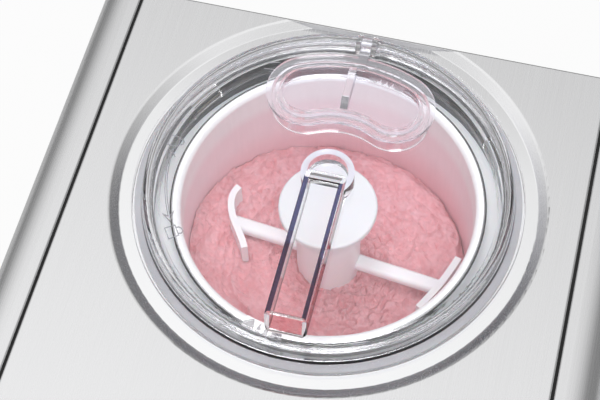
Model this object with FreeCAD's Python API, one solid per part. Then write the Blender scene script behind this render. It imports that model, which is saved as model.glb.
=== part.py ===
import FreeCAD, Part
import math
import os
from FreeCAD import Vector

os.makedirs("parts", exist_ok=True)

# Lengths are in millimetres and angles in degrees. X runs to the right, Y to the back and Z up.
# The origin is on the floor, under the middle of the body.

# Housing
body_width = 291.6
body_length = 425.0
side_width = 23.0          # side panel seen from above
side_round = 18.0          # outer top edge of a side panel
side_skin = 1.2
side_lip = 14.0            # inner lip of a side panel, beside the seam
seam = 1.2                 # dark gap beside the top plate and in front of it
seam_drop = 1.5            # seam strip below the surface
panel_thickness = 3.0
base_thickness = 3.0
top_thickness = 5.0
edge_round = 1.2
control_depth = 90.0       # control panel, front to back
control_height = 10.0
control_skin = 3.0
control_round = 5.0
control_end = 22.0         # solid ends of the control panel, which stand on the front posts
foot_height = 12.0
foot_radius = 14.0
foot_taper = 1.5
foot_inset = 36.0
post_size = 14.0
post_gap = 2.6             # post to the seam strip

# Air slots
slot_width = 3.5
slot_pitch = 9.0
slot_count = 13
slot_height = 70.0
slot_rise = 45.0           # above the base plate

# Opening in the top plate and bowl
bowl_radius = 71.6
bowl_wall = 1.5
bowl_depth = 121.0
bowl_height = 108.0        # floor to the inside of the bowl, with room for the drive below it
bowl_floor = 2.0
bowl_corner = 9.0
rim_width = 3.9
rim_thickness = 3.4
rim_round = 1.5
rim_drop = 7.0             # bowl rim below the top plate
chimney_height = 64.0
chimney_gap = 1.0
chimney_wall = 1.5
tab_angle = 260.0
tab_width = 20.0
tab_reach = 1.6            # tab past the rim
tab_key = 2.0              # tab below the ledge
tab_gap = 0.6
ledge_width = 8.0
ledge_drop = 12.0          # ledge below the rim
collar_thickness = 5.0
collar_gap = 0.9
ring_wall = 1.5
ring_flange = 2.0
well_gap = 0.5
well_wall = 1.2
well_floor = 3.0
well_lip = 3.0
back_strip = 2.9           # lid to the back edge of the top plate
back_lip = 1.5             # strip of plate left behind the recess
recess_gap = 6.2           # lid to the foot of the recess wall
recess_depth = 3.2
shoulder_run = 4.6         # sloping wall of the recess, seen from above
shoulder_round = 2.4
shoulder_foot = 0.9
jacket_thickness = 3.0
jacket_inset = 6.0
foam_gap = 5.0             # foam to the posts
foam_front = 28.2
foam_back = 8.2
foam_under = 7.0
shelf_thickness = 2.0
shelf_leg_radius = 6.0
shelf_leg_inset = 9.0

# Lid
lid_overhang = 8.5         # lid rim past the steel ring
lid_rise = 12.0            # lid panel above the top plate
lid_wall = 2.2
lid_shoulder = 5.0
lid_flange = 4.8
lid_flange_thickness = 1.4
lid_draft = 2.2
skirt_gap = 0.7
skirt_depth = 9.0          # skirt below the top plate
seal_thickness = 1.2
lid_seat = 0.1             # lid rim above the seal, so that it turns
seal_width = 4.3
lug_count = 3
lug_first = 30.0
lug_half = 6.0             # half of a lug's angle
lug_height = 2.8
lug_gap = 0.6
lug_reach_gap = 0.3
lid_turn = 20.0
boss_radius = 12.8
boss_wall = 3.0
boss_rise = 8.0            # boss above the lid panel
bar_width = 19.6
bar_rise = 12.0            # bar above the lid panel
bar_wall = 2.2
bar_start = 0.2            # bar end near the lid's middle
bar_ramp = 7.0
bar_end = 83.0
bar_slope = 3.0
bar_corner = 3.0
bar_edge = 1.4

# Refill flap
flap_reach = 72.0          # outer edge from the lid's middle
flap_end_radius = 20.0
flap_end_offset = 22.0     # middle of an end to the left or right
flap_near = 32.3           # inner edge from the lid's middle
flap_thickness = 2.2
chute_inset = 2.4
chute_wall = 1.8
chute_depth = 12.0
plug_gap = 1.8
plug_wall = 1.8
plug_depth = 5.0
plug_floor = 1.8
flap_seat = 0.15           # flap above the lid panel
flap_rib_width = 3.6
flap_rib_offset = -2.4
flap_rib_length = 29.0
flap_rib_rise = 1.0        # rib above the flap
flap_rib_end = 2.0         # rib end to the outer edge of the flap
flap_rib_slope = 6.0       # sloping near end of the rib
hinge_offset = 1.0
hinge_reach = 79.5
hinge_rise = 3.6
knuckle_radius = 2.8
knuckle_width = 5.0
knuckle_gap = 0.3
ear_width = 2.2
ear_length = 9.0
pin_radius = 1.2
pin_gap = 0.05

# Paddle
disc_radius = 24.3
disc_thickness = 3.0
disc_drop = 4.6            # disc below the bowl rim
column_radius = 16.3
column_gap = 1.2
paddle_lift = 2.0          # paddle above the bowl floor
arm_width = 8.0
arm_height = 6.0
arm_round = 2.4
arm_drop = 50.0            # top of the arms below the bowl rim
arm_left = 174.0           # direction of the inner arms
arm_right = -7.0
inner_arm = 52.5
outer_arm = 61.5
blade_thickness = 3.4
blade_rise = 7.0           # blade above the arms
inner_blade = ((-53.0, 22.0), (-55.0, 14.5), (-50.0, 1.5), (-41.0, -12.5))
outer_blade = ((66.0, 7.0), (60.8, -8.0), (52.0, -25.0))
blade_steps = 7
top_cap = 6.0

# Drive
shaft_radius = 6.0
shaft_flats = 10.0
flats_gap = 0.3
flats_length = 42.0
seat_gap = 0.3
running_gap = 0.05
bushing_wall = 3.0
bushing_height = 9.0
seal_ring_wall = 5.0
gear_module = 1.5
output_teeth = 48
small_teeth = 18
gear_height = 10.0
second_module = 1.25
large_teeth = 42
pinion_teeth = 18
second_height = 5.5
gear_space = 1.0           # between gears one above the other
gear_backlash = 0.28
gear_room = 3.0
box_wall = 3.0
box_height = 27.0
cover_thickness = 3.0
gear_pin_radius = 4.0
motor_radius = 29.0
motor_height = 42.0
motor_shaft_radius = 2.5
motor_shaft_depth = 20.0

# Cooling
compressor_side = 62.8     # compressor middle to the right side panel
compressor_share = 0.4585  # compressor middle, as a share of the way from the foam to the front panel
compressor_radius = 52.0
compressor_height = 146.0
compressor_wall = 3.2
compressor_dome = 26.0
block_radius = 31.0
block_height = 78.0
block_leg = 14.0
bracket_thickness = 3.0
bracket_margin = 4.0
grommet_radius = 8.0
grommet_height = 12.0
bolt_radius = 2.5
terminal_width = 30.0
terminal_height = 42.0
terminal_depth = 14.0
pipe_radius = 3.0
pipe_bend = 9.0
capillary_radius = 1.4
fin_count = 22
fin_thickness = 0.8
fin_pitch = 5.0
fin_depth = 24.0
fin_height = 136.0
fin_gap = 4.0              # fins to the side panel's lip
tube_passes = 6
tube_pitch = 22.0
tube_rise = 14.0
shroud_gap = 2.0
shroud_thickness = 3.0
fan_ring_radius = 50.0
fan_ring_wall = 2.5
fan_ring_depth = 22.0
fan_rise = 76.0            # fan middle above the base plate
fan_gap = 4.0
fan_hub_radius = 14.0
fan_hub_height = 12.0
fan_blades = 5
fan_pitch_angle = 35.0
fan_blade_width = 20.0
fan_blade_thickness = 1.8
fan_shaft_radius = 1.5
fan_motor_radius = 18.0
fan_motor_length = 30.0
spider_thickness = 4.0
spider_width = 7.0
drier_radius = 9.0
drier_length = 90.0
drier_side = 45.0          # drier to the left of the compressor middle
drier_front = 32.0         # drier to the front of the body

# Controls
board_drop = 24.0          # underside of the board below the control panel's top
board_thickness = 1.6
board_margin = 8.0
standoff_radius = 3.5
window_side = 14.0         # display window to the knob
window_depth = 24.0
window_thickness = 2.0
window_ledge = 2.0
module_gap = 1.0
knob_step = 28.0           # knob to the cool button
knob_radius = 16.0
knob_height = 12.0
knob_gap = 0.4
knob_shaft_radius = 3.0
encoder_size = 13.0
encoder_height = 8.0
button_radius = 7.0
button_side = 35.6         # outer buttons to the seam
button_step = 30.0         # power button to the start button
button_gap = 0.3
button_proud = 1.5
button_flange = 1.3
button_flange_height = 1.3
button_travel = 1.2
switch_size = 6.0
switch_height = 4.0
stem_radius = 2.0

# Back of the housing
rocker_step = 30.0         # rocker to the gland
rocker_rise = 40.0
rocker_width = 22.0
rocker_height = 11.0
rocker_depth = 8.0
rocker_gap = 0.6
rocker_tilt = 7.0
rocker_pin_radius = 1.5
frame_wall = 3.0
frame_depth = 16.0
rocker_sink = 7.5          # rocker pivot behind the back face
gland_side = 32.8          # gland to the side panel
gland_rise = 40.0
gland_bore = 4.0
gland_wall = 3.0
gland_length = 14.0
gland_collar = 2.5
screw_radius = 1.8
screw_head_radius = 3.2
screw_head_height = 1.6
screw_length = 12.0


# Levels and radii that follow from the sizes above
half_width = body_width / 2
half_length = body_length / 2
zt = bowl_height + bowl_depth + rim_drop     # surface of the top plate
plate_half = half_width - side_width - seam
side_inner = half_width - side_width
base_top = foot_height + base_thickness
control_back = -half_length + control_depth
plate_front = control_back + seam
recess_z = zt - recess_depth
rim_z = zt - rim_drop
bowl_outer = bowl_radius + bowl_wall
rim_radius = bowl_outer + rim_width
tab_radius = rim_radius + tab_reach
tab_half = math.degrees(math.asin(tab_width / 2 / rim_radius))
tab_spare = math.degrees(tab_gap / rim_radius)
ledge_z = rim_z - ledge_drop
collar_bottom = ledge_z - collar_thickness
ring_inner = rim_radius + ledge_width
ring_outer = ring_inner + ring_wall
ring_bottom = collar_bottom - ring_flange
lid_radius = ring_outer + lid_overhang
recess_radius = lid_radius + recess_gap
shoulder_radius = recess_radius + shoulder_run
axis_y = half_length - lid_radius - back_strip
bowl_inside_z = rim_z - bowl_depth
bowl_bottom = bowl_inside_z - bowl_floor
chimney_inner = shaft_radius + chimney_gap
chimney_outer = chimney_inner + chimney_wall
chimney_top = bowl_inside_z + chimney_height
well_inner = bowl_outer + well_gap
well_outer = well_inner + well_wall
well_bottom = bowl_bottom - well_floor
well_flange = well_outer + well_lip
jacket_outer = well_outer + jacket_thickness
seal_ring_outer = shaft_radius + seal_ring_wall
foam_bottom = well_bottom - foam_under
shelf_bottom = foam_bottom - shelf_thickness
post_x = plate_half - post_gap - post_size / 2
post_y = half_length - panel_thickness - post_size / 2
foam_half = post_x - post_size / 2 - foam_gap
foam_y0 = axis_y - jacket_outer - foam_front
foam_y1 = axis_y + jacket_outer + foam_back
lid_z0 = recess_z + seal_thickness + lid_seat
lid_top = zt + lid_rise
lid_under = lid_top - lid_wall
lid_wall_low = lid_radius - lid_flange
lid_wall_high = lid_wall_low - lid_draft
skirt_outer = ring_inner - skirt_gap
skirt_inner = skirt_outer - lid_wall
lug_outer = ring_outer - lug_reach_gap
lug_z0 = zt - skirt_depth + lug_gap
lug_z1 = lug_z0 + lug_height
hinge_y = axis_y + hinge_reach
hinge_z = lid_top + hinge_rise
shoulder_z = chimney_top + chimney_gap
bushing_outer = shaft_radius + running_gap + bushing_wall
cover_z = shelf_bottom - cover_thickness
box_bottom = cover_z - box_height
gear_y1 = axis_y - gear_module * (output_teeth + small_teeth) / 2
gear_y2 = gear_y1 - second_module * (large_teeth + pinion_teeth) / 2
output_tip = gear_module * (output_teeth / 2 + 1)
large_tip = second_module * (large_teeth / 2 + 1)
pinion_tip = second_module * (pinion_teeth / 2 + 1)
gear_z0 = box_bottom + bushing_height + running_gap
gear_z1 = gear_z0 + gear_height
second_z0 = gear_z1 + gear_space
second_z1 = second_z0 + second_height
box_half = output_tip + gear_room + box_wall
box_back = axis_y + output_tip + gear_room + box_wall
box_front = gear_y2 - pinion_tip - gear_room - box_wall
compressor_x = side_inner - compressor_side
compressor_y = foam_y0 - compressor_share * (foam_y0 + half_length - panel_thickness)
bracket_z = base_top + grommet_height
compressor_z0 = bracket_z + bracket_thickness
compressor_z1 = compressor_z0 + compressor_height
bracket_half = compressor_radius + bracket_margin
grommet_offset = bracket_half - grommet_radius - 1
fin_x0 = -side_inner + fin_gap
fin_x1 = fin_x0 + fin_depth
fin_span = fin_pitch * (fin_count - 1) + fin_thickness
fan_y = compressor_y
fan_z = base_top + fan_rise
shroud_x0 = fin_x1 + shroud_gap
fan_ring_x1 = shroud_x0 + fan_ring_depth
spider_x1 = fan_ring_x1 + spider_thickness
drier_x = compressor_x - drier_side
board_z0 = zt - board_drop
board_z1 = board_z0 + board_thickness
panel_under = zt - control_skin
control_y = -half_length + control_depth / 2
cool_x = plate_half - button_side
knob_x = cool_x - knob_step
window_width = 2 * (knob_x - knob_radius - window_side)
button_places = (("power_button", -cool_x), ("start_button", button_step - cool_x), ("cool_button", cool_x))
rocker_z = base_top + rocker_rise
rocker_y = half_length - rocker_sink
gland_z = base_top + gland_rise
gland_x = side_inner - gland_side
rocker_x = gland_x - rocker_step
tube_x = (fin_x0 + fin_x1) / 2


def box(x0, x1, y0, y1, z0, z1):
    return Part.makeBox(x1 - x0, y1 - y0, z1 - z0, Vector(x0, y0, z0))


def rod(x, y, z0, z1, r):
    return Part.makeCylinder(r, z1 - z0, Vector(x, y, z0))


def tube(x, y, z0, z1, outer, inner):
    return rod(x, y, z0, z1, outer).cut(rod(x, y, z0, z1, inner))


def rod_along(axis, start, length, r):
    return Part.makeCylinder(r, length, Vector(*start), axis)


def rounded_wire(corners, place):
    # corners are (u, v) or (u, v, radius); each radius becomes an arc tangent to both sides
    count = len(corners)
    cuts = []
    for i in range(count):
        u, v = corners[i][:2]
        radius = corners[i][2] if len(corners[i]) > 2 else 0.0
        pu, pv = corners[i - 1][:2]
        nu, nv = corners[(i + 1) % count][:2]
        before = Vector(pu - u, pv - v, 0).normalize()
        after = Vector(nu - u, nv - v, 0).normalize()
        here = Vector(u, v, 0)
        if radius <= 0:
            cuts.append((here, None, here))
            continue
        half = before.getAngle(after) / 2
        reach = radius / math.tan(half)
        middle = (before + after).normalize()
        bulge = here + middle * (radius / math.sin(half) - radius)
        cuts.append((here + before * reach, bulge, here + after * reach))
    edges = []
    for i in range(count):
        start, bulge, end = cuts[i]
        follow = cuts[(i + 1) % count][0]
        if bulge is not None:
            arc = Part.Arc(place(start.x, start.y), place(bulge.x, bulge.y), place(end.x, end.y))
            edges.append(arc.toShape())
        if (follow - end).Length > 1e-6:
            edges.append(Part.LineSegment(place(end.x, end.y), place(follow.x, follow.y)).toShape())
    return Part.Wire(edges)


def prism(corners, z0, z1):
    wire = rounded_wire(corners, lambda u, v: Vector(u, v, z0))
    return Part.Face(wire).extrude(Vector(0, 0, z1 - z0))


def prism_x(corners, x0, x1):
    wire = rounded_wire(corners, lambda u, v: Vector(x0, u, v))
    return Part.Face(wire).extrude(Vector(x1 - x0, 0, 0))


def prism_y(corners, y0, y1):
    wire = rounded_wire(corners, lambda u, v: Vector(u, y0, v))
    return Part.Face(wire).extrude(Vector(0, y1 - y0, 0))


def rectangle(x0, x1, y0, y1, radius):
    return [(x0, y0, radius), (x1, y0, radius), (x1, y1, radius), (x0, y1, radius)]


def lathe(corners, x=0.0, y=None):
    y = axis_y if y is None else y
    wire = rounded_wire(corners, lambda u, v: Vector(x + u, y, v))
    return Part.Face(wire).revolve(Vector(x, y, 0), Vector(0, 0, 1), 360)


def sector(inner, outer, a0, a1, z0, z1):
    # part of a ring around the bowl's axis, from angle a0 to a1 counted from +X
    centre = Vector(0, axis_y, z0)
    whole = Part.makeCylinder(outer, z1 - z0, centre, Vector(0, 0, 1), a1 - a0)
    whole.rotate(centre, Vector(0, 0, 1), a0)
    return whole.cut(Part.makeCylinder(inner, z1 - z0, centre))


def pipe(points, radius, bend):
    # a round pipe along straight runs joined by tangent arcs
    points = [Vector(*p) for p in points]
    edges = []
    last = points[0]
    for i in range(1, len(points) - 1):
        before = (points[i - 1] - points[i]).normalize()
        after = (points[i + 1] - points[i]).normalize()
        half = before.getAngle(after) / 2
        reach = bend / math.tan(half)
        middle = (before + after).normalize()
        start = points[i] + before * reach
        end = points[i] + after * reach
        bulge = points[i] + middle * (bend / math.sin(half) - bend)
        edges.append(Part.LineSegment(last, start).toShape())
        edges.append(Part.Arc(start, bulge, end).toShape())
        last = end
    edges.append(Part.LineSegment(last, points[-1]).toShape())
    section = Part.Wire([Part.Circle(points[0], points[1] - points[0], radius).toShape()])
    return Part.Wire(edges).makePipeShell([section], True, False)


def gear(module, teeth, x, y, z0, z1, turn):
    # spur gear with involute flanks; one tooth is centred on the angle turn
    pitch = module * teeth / 2
    base = pitch * math.cos(math.radians(20))
    tip = pitch + module * 0.95
    root = pitch - module * 1.25
    at_pitch = (math.pi * module / 2 - gear_backlash) / 2 / pitch
    flat = math.tan(math.radians(20)) - math.radians(20)

    def half_angle(radius):
        slope = math.acos(min(1.0, base / radius))
        return at_pitch + flat - (math.tan(slope) - slope)

    radii = [root, base, pitch, tip] if root < base else [root, pitch, tip]
    points = []
    for i in range(teeth):
        middle = math.radians(turn) + 2 * math.pi * i / teeth
        side = [(r, half_angle(max(r, base))) for r in radii]
        for r, angle in side:
            points.append(Vector(x + r * math.cos(middle - angle), y + r * math.sin(middle - angle), z0))
        for r, angle in reversed(side):
            points.append(Vector(x + r * math.cos(middle + angle), y + r * math.sin(middle + angle), z0))
    points.append(points[0])
    return Part.Face(Part.makePolygon(points)).extrude(Vector(0, 0, z1 - z0))


def hexagon(x, y, z0, z1, flats):
    corner = flats / math.sqrt(3)
    points = [(x + corner * math.cos(math.radians(60 * i)), y + corner * math.sin(math.radians(60 * i)))
              for i in range(6)]
    return prism(points, z0, z1)


def kidney(inset, z0, z1):
    # bean outline around the lid's axis, drawn in from its edge by the inset
    ex = flap_end_offset
    ey = math.sqrt((flap_reach - flap_end_radius) ** 2 - ex ** 2)
    rise = ey - flap_near
    hollow = (ex ** 2 + rise ** 2 - flap_end_radius ** 2) / 2 / (flap_end_radius - rise)
    cy = flap_near - hollow
    end = flap_end_radius - inset
    outer = flap_reach - inset
    near = hollow + inset
    up = math.atan2(ey, ex)
    down = math.atan2(cy - ey, -ex)
    middle = (up + down) / 2

    def at(cx, y, radius, angle, sign):
        return Vector(sign * (cx + radius * math.cos(angle)), axis_y + y + radius * math.sin(angle), z0)

    right = [at(ex, ey, end, a, 1) for a in (up, middle, down)]
    left = [at(ex, ey, end, a, -1) for a in (up, middle, down)]
    top = Vector(0, axis_y + outer, z0)
    bottom = Vector(0, axis_y + cy + near, z0)
    edges = [Part.Arc(left[0], top, right[0]), Part.Arc(*right), Part.Arc(right[2], bottom, left[2]),
             Part.Arc(left[2], left[1], left[0])]
    wire = Part.Wire([e.toShape() for e in edges])
    return Part.Face(wire).extrude(Vector(0, 0, z1 - z0))


def screw(point, direction):
    # pan head screw; the point is under the head and the direction is the way it goes in
    head = Part.makeCylinder(screw_head_radius, screw_head_height, point, direction * -1)
    shank = Part.makeCylinder(screw_radius, screw_length, point, direction)
    return head.fuse(shank)


def pilot(point, direction):
    return Part.makeCylinder(screw_radius, screw_length, point, direction)


def save(name, *solids):
    shape = solids[0] if len(solids) == 1 else Part.makeCompound(list(solids))
    shape.exportStep("parts/" + name + ".step")


def mirrored(shape):
    return shape.mirror(Vector(0, 0, 0), Vector(1, 0, 0))


post_places = [(sx * post_x, sy * post_y) for sx in (-1, 1) for sy in (-1, 1)]
foot_places = [(sx * (half_width - foot_inset), sy * (half_length - foot_inset)) for sx in (-1, 1) for sy in (-1, 1)]
back_screw_places = [(sx * post_x, z) for sx in (-1, 1) for z in (base_top + post_size, zt - 2 * post_size)]
up = Vector(0, 0, 1)
down = Vector(0, 0, -1)
forward = Vector(0, -1, 0)
backward = Vector(0, 1, 0)
right_way = Vector(1, 0, 0)


housing_screws = []


def make_base():
    base = box(-half_width + side_skin, half_width - side_skin, -half_length + panel_thickness,
               half_length - panel_thickness, foot_height, base_top)
    for x, y in post_places:
        base = base.cut(pilot(Vector(x, y, foot_height), up))
        housing_screws.append(screw(Vector(x, y, foot_height), up))
    save("base_plate", base)
    feet = []
    for x, y in foot_places:
        profile = [(0, 0), (foot_radius - foot_taper, 0, 1.5), (foot_radius, foot_height), (0, foot_height)]
        feet.append(lathe(profile, x, y))
    save("feet", *feet)


def make_posts():
    posts = []
    for x, y in post_places:
        top = zt - top_thickness if y > 0 else zt - control_height
        post = box(x - post_size / 2, x + post_size / 2, y - post_size / 2, y + post_size / 2, base_top, top)
        post = post.cut(pilot(Vector(x, y, foot_height), up))
        for sx, sz in back_screw_places:
            if y > 0 and sx * x > 0:
                post = post.cut(pilot(Vector(sx, half_length - screw_head_height, sz), forward))
        posts.append(post)
    save("corner_posts", *posts)


def make_side_panels():
    outline = [(side_inner, foot_height), (half_width, foot_height), (half_width, zt, side_round),
               (side_inner, zt, edge_round)]
    pocket = [(side_inner - 1, foot_height - 1), (half_width - side_skin, foot_height - 1),
              (half_width - side_skin, zt - side_skin, side_round - side_skin),
              (side_inner + side_skin, zt - side_skin), (side_inner + side_skin, zt - side_lip),
              (side_inner - 1, zt - side_lip)]
    panel = prism_y(outline, -half_length, half_length)
    panel = panel.cut(prism_y(pocket, -half_length + side_skin, half_length - side_skin))
    for i in range(slot_count):
        y = fan_y + (i - (slot_count - 1) / 2) * slot_pitch
        z = base_top + slot_rise
        slot = prism_x([(y - slot_width / 2, z, slot_width * 0.45), (y + slot_width / 2, z, slot_width * 0.45),
                        (y + slot_width / 2, z + slot_height, slot_width * 0.45),
                        (y - slot_width / 2, z + slot_height, slot_width * 0.45)],
                       half_width - 3 * side_skin, half_width + side_skin)
        panel = panel.cut(slot)
    save("right_side_panel", panel)
    save("left_side_panel", mirrored(panel))
    strips = []
    for sign in (-1, 1):
        x0, x1 = sorted((sign * plate_half, sign * side_inner))
        strips.append(box(x0, x1, -half_length, half_length, zt - control_height, zt - seam_drop))
    strips.append(box(-plate_half, plate_half, control_back, plate_front, zt - control_height, zt - seam_drop))
    save("seam_strips", *strips)


def make_front_and_back():
    front = box(-side_inner, side_inner, -half_length, -half_length + panel_thickness, foot_height,
                zt - control_height)
    save("front_panel", front)
    back = box(-side_inner, side_inner, half_length - panel_thickness, half_length, foot_height, zt - control_height)
    for i in range(slot_count):
        x = (i - (slot_count - 1) / 2) * slot_pitch
        z = base_top + slot_rise + slot_height
        slot = prism_y([(x - slot_width / 2, z, slot_width * 0.45), (x + slot_width / 2, z, slot_width * 0.45),
                        (x + slot_width / 2, z + slot_height, slot_width * 0.45),
                        (x - slot_width / 2, z + slot_height, slot_width * 0.45)],
                       half_length - 2 * panel_thickness, half_length + panel_thickness)
        back = back.cut(slot)
    for x, z in back_screw_places:
        seat = Vector(x, half_length - screw_head_height, z)
        back = back.cut(Part.makeCylinder(screw_head_radius, screw_head_height, seat, backward))
        back = back.cut(pilot(seat, forward))
        housing_screws.append(screw(seat, forward))
    back = back.cut(frame_outline(half_length - 2 * panel_thickness, half_length + panel_thickness))
    gland_radius = gland_bore + gland_wall
    hole = Part.makeCylinder(gland_radius, 4 * panel_thickness,
                             Vector(gland_x, half_length + panel_thickness, gland_z), forward)
    back = back.cut(hole)
    save("back_panel", back)
    gland = Part.makeCylinder(gland_radius, gland_length, Vector(gland_x, half_length, gland_z), forward)
    collar = Part.makeCylinder(gland_radius + gland_collar, gland_wall,
                               Vector(gland_x, half_length - panel_thickness, gland_z), forward)
    bore = Part.makeCylinder(gland_bore, gland_length, Vector(gland_x, half_length, gland_z), forward)
    save("cord_gland", gland.fuse(collar).cut(bore))


def frame_outline(y0, y1):
    half_x = rocker_width / 2 + rocker_gap + frame_wall
    half_z = rocker_height / 2 + rocker_gap + frame_wall
    return box(rocker_x - half_x, rocker_x + half_x, y0, y1, rocker_z - half_z, rocker_z + half_z)


def make_power_switch():
    frame = frame_outline(half_length - frame_depth, half_length)
    half_x = rocker_width / 2 + rocker_gap
    half_z = rocker_height / 2 + rocker_gap
    frame = frame.cut(box(rocker_x - half_x, rocker_x + half_x, half_length - frame_depth + frame_wall,
                          half_length + 1, rocker_z - half_z, rocker_z + half_z))
    pin_half = half_z + frame_wall / 2
    hole = rod(rocker_x, rocker_y, rocker_z - pin_half - running_gap, rocker_z + pin_half + running_gap,
               rocker_pin_radius + running_gap)
    save("power_switch_frame", frame.cut(hole))
    half = rocker_width / 2
    outline = [(rocker_x - half, rocker_y + rocker_depth / 2, 1), (rocker_x - half + 2, rocker_y - rocker_depth / 2),
               (rocker_x + half - 2, rocker_y - rocker_depth / 2), (rocker_x + half, rocker_y + rocker_depth / 2, 1),
               (rocker_x, rocker_y + rocker_depth / 2 - 1.2, 20)]
    rocker = prism(outline, rocker_z - rocker_height / 2, rocker_z + rocker_height / 2)
    rocker = rocker.fuse(rod(rocker_x, rocker_y, rocker_z - pin_half, rocker_z + pin_half, rocker_pin_radius))
    rocker.rotate(Vector(rocker_x, rocker_y, rocker_z), up, -rocker_tilt)
    save("power_rocker", rocker)


def make_top_plate():
    bottom = zt - top_thickness
    plate = box(-plate_half, plate_half, plate_front, half_length, bottom, zt)
    apron = box(-plate_half, plate_half, half_length - panel_thickness, half_length, zt - control_height, bottom)
    rims = [e for e in plate.Edges if abs(e.BoundBox.ZMin - zt) < 1e-6]
    plate = plate.makeFillet(edge_round, rims)
    outer = shoulder_radius + shoulder_round
    lip = box(-half_width, half_width, -half_length, half_length - back_lip, bottom - 1, zt + 1)
    plate = plate.cut(rod(0, axis_y, bottom - 1, zt + 1, outer).common(lip))
    dish = lathe([(ring_outer, bottom), (outer, bottom), (outer, zt), (shoulder_radius, zt, shoulder_round),
                  (recess_radius, recess_z, shoulder_foot), (ring_outer, recess_z)])
    plate = plate.fuse(dish.common(lip)).removeSplitter()
    plate = plate.cut(rod(0, axis_y, bottom - 1, zt + 1, ring_outer)).fuse(apron)
    save("top_plate", plate.removeSplitter())


def make_opening():
    ring = lathe([(ring_inner, recess_z), (ring_outer, recess_z), (ring_outer, ring_bottom),
                  (well_flange, ring_bottom), (well_flange, collar_bottom), (ring_inner, collar_bottom)])
    spare = math.degrees(lug_gap / ring_inner)
    for i in range(lug_count):
        a = lug_first + i * 360 / lug_count
        entry = sector(ring_inner - 1, ring_outer + 1, a - lug_half - spare, a + lug_half + spare,
                       lug_z0 - lug_gap, recess_z + 1)
        run = sector(ring_inner - 1, ring_outer + 1, a - lug_half - spare, a + lug_half + lid_turn + spare,
                     lug_z0 - lug_gap, lug_z1 + lug_gap)
        ring = ring.cut(entry).cut(run)
    save("opening_ring", ring)
    collar = lathe([(bowl_outer + collar_gap, collar_bottom), (ring_inner, collar_bottom), (ring_inner, ledge_z),
                    (bowl_outer + collar_gap, ledge_z, 0.8)])
    for a in (tab_angle, tab_angle - 180):
        notch = sector(bowl_outer - 1, tab_radius + tab_gap, a - tab_half - tab_spare, a + tab_half + tab_spare,
                       ledge_z - tab_key - tab_gap, ledge_z + 1)
        collar = collar.cut(notch)
    save("ledge_collar", collar)


def make_well():
    lip_z = collar_bottom - well_wall
    well = lathe([(seal_ring_outer, well_bottom), (well_outer, well_bottom, bowl_corner - 2),
                  (well_outer, lip_z), (well_flange, lip_z), (well_flange, collar_bottom),
                  (well_inner, collar_bottom), (well_inner, bowl_bottom, bowl_corner - 3),
                  (seal_ring_outer, bowl_bottom)])
    save("cooling_well", well)
    save("shaft_seal", tube(0, axis_y, well_bottom, bowl_bottom, seal_ring_outer, shaft_radius + running_gap))
    jacket = tube(0, axis_y, well_bottom + bowl_corner, lip_z - jacket_inset, jacket_outer, well_outer)
    foam = box(-foam_half, foam_half, foam_y0, foam_y1, foam_bottom, ring_bottom)
    foam = foam.cut(rod(0, axis_y, well_bottom, ring_bottom, jacket_outer))
    foam = foam.cut(rod(0, axis_y, foam_bottom, well_bottom, bushing_outer + gear_room))
    for x, y, z in evaporator_ports():
        reach = axis_y - y
        stub = rod_along(backward, (x, y, z), reach, pipe_radius)
        jacket = jacket.fuse(stub.cut(rod(0, axis_y, z - 10, z + 10, well_outer)))
        foam = foam.cut(stub)
    save("evaporator_jacket", jacket)
    save("insulation_block", foam)
    shelf = box(-foam_half, foam_half, foam_y0, foam_y1, shelf_bottom, foam_bottom)
    shelf = shelf.cut(rod(0, axis_y, shelf_bottom, foam_bottom, bushing_outer))
    for x, y in gearbox_screw_places():
        shelf = shelf.cut(rod(x, y, shelf_bottom, foam_bottom, screw_radius))
    save("shelf", shelf)
    legs = []
    for sx in (-1, 1):
        for y in (foam_y0 + shelf_leg_inset, foam_y1 - shelf_leg_inset):
            legs.append(rod(sx * (foam_half - shelf_leg_inset), y, base_top, shelf_bottom, shelf_leg_radius))
    save("shelf_legs", *legs)


def evaporator_ports():
    low = well_bottom + 4 * bowl_corner
    high = ring_bottom - 3 * bowl_corner
    front = foam_y0 - pipe_radius
    return (-5 * pipe_radius, front, low), (5 * pipe_radius, front, high)


def make_bowl():
    bowl = lathe([(chimney_inner, bowl_bottom), (bowl_outer, bowl_bottom, bowl_corner),
                  (bowl_outer, rim_z - rim_thickness), (rim_radius, rim_z - rim_thickness, rim_round),
                  (rim_radius, rim_z, rim_round), (bowl_radius, rim_z, 2 * rim_round),
                  (bowl_radius, bowl_inside_z, bowl_corner - 1.5),
                  (chimney_outer, bowl_inside_z, 2), (chimney_outer, chimney_top, 0.6),
                  (chimney_inner, chimney_top)])
    for a in (tab_angle, tab_angle - 180):
        tab = sector(bowl_outer - bowl_wall / 2, tab_radius, a - tab_half, a + tab_half, ledge_z - tab_key, rim_z)
        bowl = bowl.fuse(tab)
    save("bowl", bowl.removeSplitter())


def plan_blade(points, z0, z1):
    spine = Part.BSplineCurve()
    spine.interpolate([Vector(x, axis_y + y, z0) for x, y in points])
    left, right = [], []
    for i in range(blade_steps):
        u = spine.FirstParameter + (spine.LastParameter - spine.FirstParameter) * i / (blade_steps - 1)
        along = spine.tangent(u)[0]
        across = Vector(-along.y, along.x, 0).normalize() * (blade_thickness / 2)
        left.append(spine.value(u) + across)
        right.append(spine.value(u) - across)
    faces = []
    for side in (left, right):
        curve = Part.BSplineCurve()
        curve.interpolate(side)
        faces.append(curve.toShape())
    ends = [Part.LineSegment(left[i], right[i]).toShape() for i in (0, -1)]
    wire = Part.Wire(Part.__sortEdges__([faces[0], ends[1], faces[1], ends[0]]))
    return Part.Face(wire).extrude(Vector(0, 0, z1 - z0))


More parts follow.
